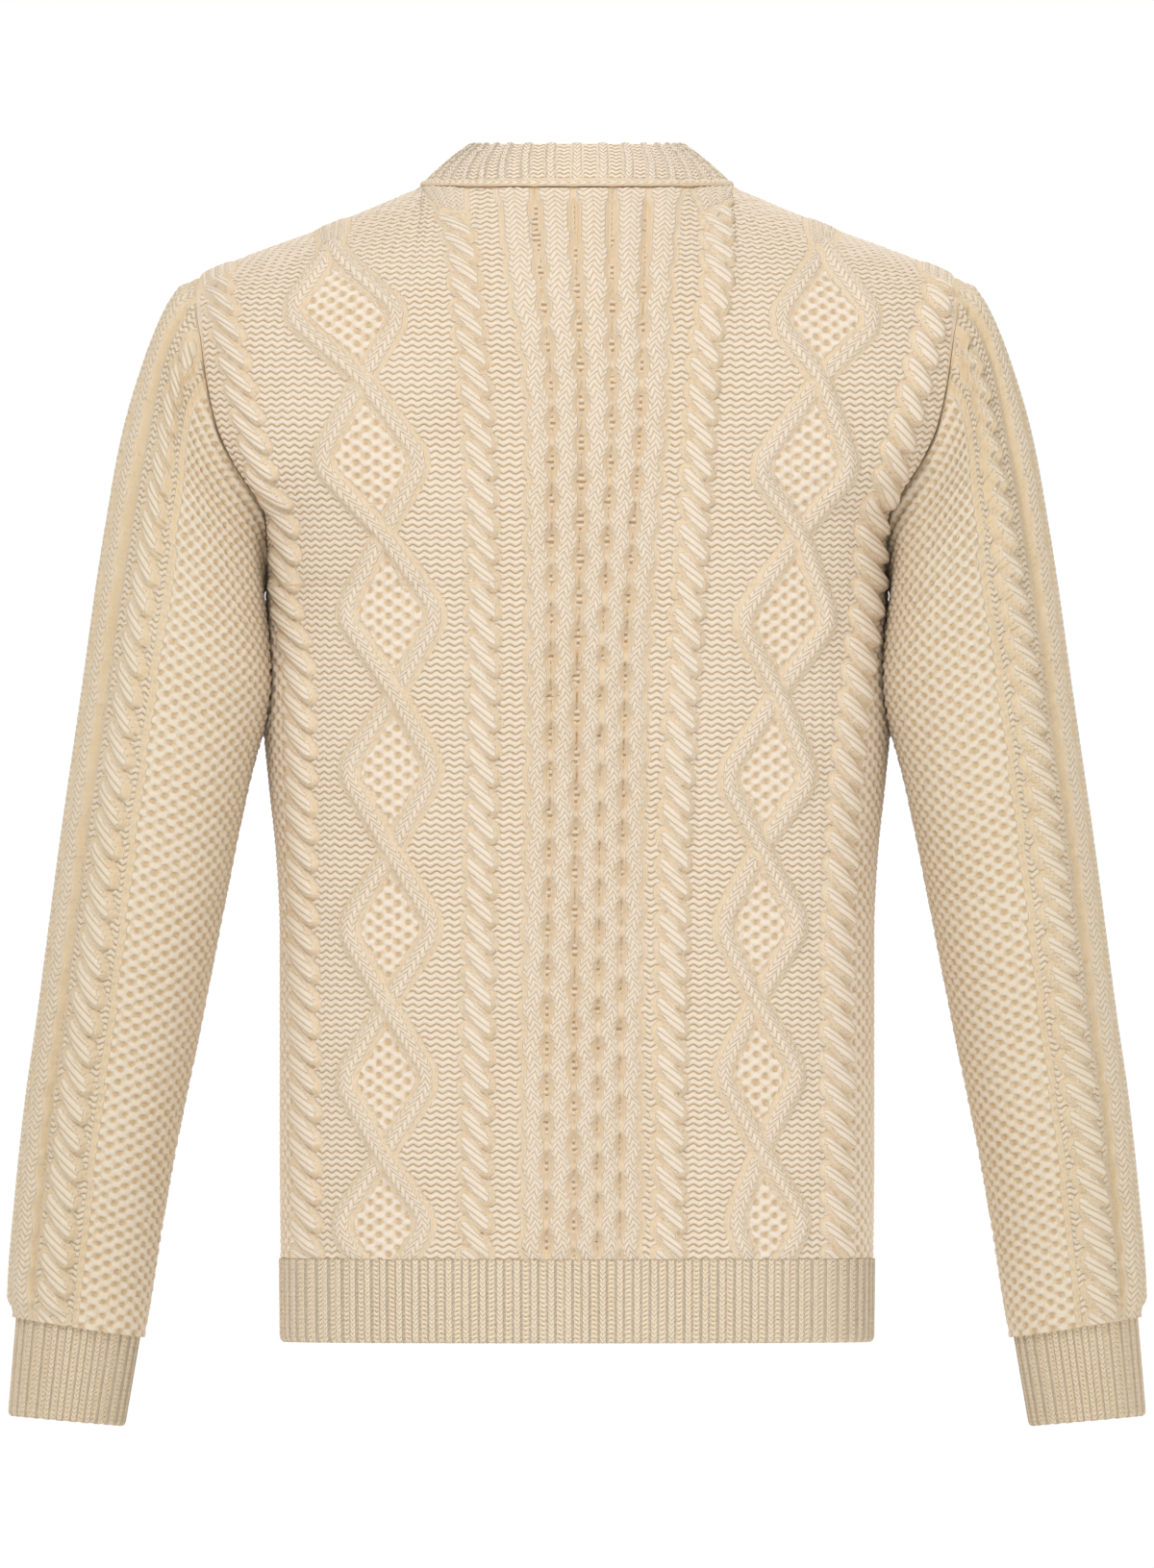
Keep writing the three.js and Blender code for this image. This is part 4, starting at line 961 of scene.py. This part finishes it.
# The neck band: a ribbed stand picked up round the neck, with a rolled chain of stitches
# along its seam. Narrow ridges stand far apart and lean in towards the sides.
NECK_RIBS = 38
NECK_TOP_HALF, NECK_TOP_DEPTH, NECK_TOP_Y, NECK_TOP_Z = 60, 53, -10, 25
NECK_BULGE = 2.5
ROLL_HEIGHT = 1.8
ROLL_HALF = 2.2
# A lighter copy of the body's wool: painted light on the neck band
neck_wool = wool("neck_wool", (0.82, 0.72, 0.595), HOLLOW_SHADE)


def make_neck_band(name):
    """The whole band, from the neck seam up to its open top."""
    angles = np.linspace(np.pi, -np.pi, NECK_RIBS * 12 + 1)
    angle, share = np.meshgrid(angles, np.linspace(0, 1, 37))
    x = NECK_HALF * np.sin(angle)
    behind = np.cos(angle) >= 0
    cosine = np.sqrt(np.clip(1 - (x / NECK_HALF) ** 2, 0, 1))
    back, front = ground(1, x, 0 * x), ground(-1, x, -NECK_DROP_FRONT * cosine)
    base = np.where(behind[..., None], back, front)
    drop = NECK_DROP_FRONT * ease(np.degrees(np.abs(angle)), 75, 180)
    top_y = NECK_TOP_Y + NECK_TOP_DEPTH * np.cos(angle)
    top = np.stack([NECK_TOP_HALF * np.sin(angle), top_y, NECK_TOP_Z - drop], -1)
    points = base + (top - base) * share[..., None]
    outward = np.stack([points[..., 0], points[..., 1] - NECK_TOP_Y, 0 * share], -1)
    outward /= np.linalg.norm(outward, axis=-1, keepdims=True)
    points += NECK_BULGE * np.sin(np.pi * share)[..., None] * outward
    row = run_length(points)

    # Ridges are upright over the middle of the back, and lean only near the sides
    sine = np.sin(angle)
    shrink = NECK_HALF / (NECK_HALF + (NECK_TOP_HALF - NECK_HALF) * share)
    straight = np.clip(sine / shrink * (1 + (shrink - 1) * np.abs(sine) ** 3), -1, 1)
    turn = np.arcsin(straight)
    from_middle = np.where(behind, turn, np.sign(sine) * np.pi - turn)
    phase = from_middle / (2 * np.pi) * NECK_RIBS + 0.5
    fabric = rib_fabric(phase, row, 1.3, 0.38, 3.0, 0.2)
    roll = (row - ROLL_HEIGHT) / ROLL_HALF
    bulge = np.sqrt(np.clip(1 - roll**2, 0, 1))
    chain = np.where(np.abs(roll) < 1, 1.0 + 1.6 * bulge, ABSENT)
    # Painted shade along both sides of the rolled chain
    crevice_shade = 0.75 * ease(np.abs(roll), 0.6, 1)
    lay(fabric, chain, 0.6, KNIT, (1 + roll) / 2, phase * 2.6, crevice_shade)
    height, uv, tint = finish_fabric(fabric, NO_SEAM + 0 * row)
    height = height - round_end(row[-1:] - row, 2.5)
    return make_cloth(name, *tube_walls(points, height), uv, tint, (6, 6), tube=True)


band = make_neck_band("neck_rib")
band.data.materials.append(neck_wool)
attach(band, "root")
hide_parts("neck_band")

# The floor and the light: a pale floor, a soft white studio that is brightest at eye level,
# and big soft lamps, the key one high over the left of the picture.
bpy.ops.mesh.primitive_plane_add(size=12, location=(0, 0, -1.05))
floor = bpy.context.object
floor.name = "floor"
floor_paint = bpy.data.materials.new("floor_paint")
floor_paint.use_nodes = True
paint = floor_paint.node_tree.nodes["Principled BSDF"]
paint.inputs["Base Color"].default_value = (0.93, 0.93, 0.93, 1)
paint.inputs["Roughness"].default_value = 0.9
floor.data.materials.append(floor_paint)

world = bpy.data.worlds.new("studio")
bpy.context.scene.world = world
bpy.context.scene.view_settings.view_transform = "Standard"
world.use_nodes = True
sky = world.node_tree
direction = sky.nodes.new("ShaderNodeTexCoord")
height = sky.nodes.new("ShaderNodeSeparateXYZ")
sky.links.new(direction.outputs["Generated"], height.inputs[0])
share = sky.nodes.new("ShaderNodeMapRange")
share.inputs["From Min"].default_value = -1
sky.links.new(height.outputs["Z"], share.inputs["Value"])
walls = sky.nodes.new("ShaderNodeValToRGB")
# Grey of the studio from straight down, 0, to straight up, 1
GREYS = [(0.0, 0.35), (0.44, 0.42), (0.475, 1.02), (0.525, 1.02), (0.6, 0.5), (1.0, 0.62)]
for spot, grey in GREYS:
    if spot in (0.0, 1.0):
        stop = walls.color_ramp.elements[int(spot)]
    else:
        stop = walls.color_ramp.elements.new(spot)
    stop.color = (grey, grey, grey, 1)
sky.links.new(share.outputs[0], walls.inputs[0])
sky.links.new(walls.outputs[0], sky.nodes["Background"].inputs[0])


def lamp(name, place, aim, size, power):
    """A round soft lamp that shines from its place to its aim."""
    data = bpy.data.lights.new(name, "AREA")
    data.shape = "DISK"
    data.size = size
    data.energy = power
    light = bpy.data.objects.new(name, data)
    light.location = place
    light.rotation_euler = (Vector(aim) - Vector(place)).to_track_quat("-Z", "Y").to_euler()
    bpy.context.collection.objects.link(light)


lamp("key", (1.3, 2.9, 2.1), (0, 0, -0.3), 1.1, 54)
lamp("fill", (-2.2, 2.8, 0.2), (0, 0, -0.35), 1.8, 18)
lamp("front_key", (-1.3, -2.9, 2.1), (0, 0, -0.3), 1.1, 54)
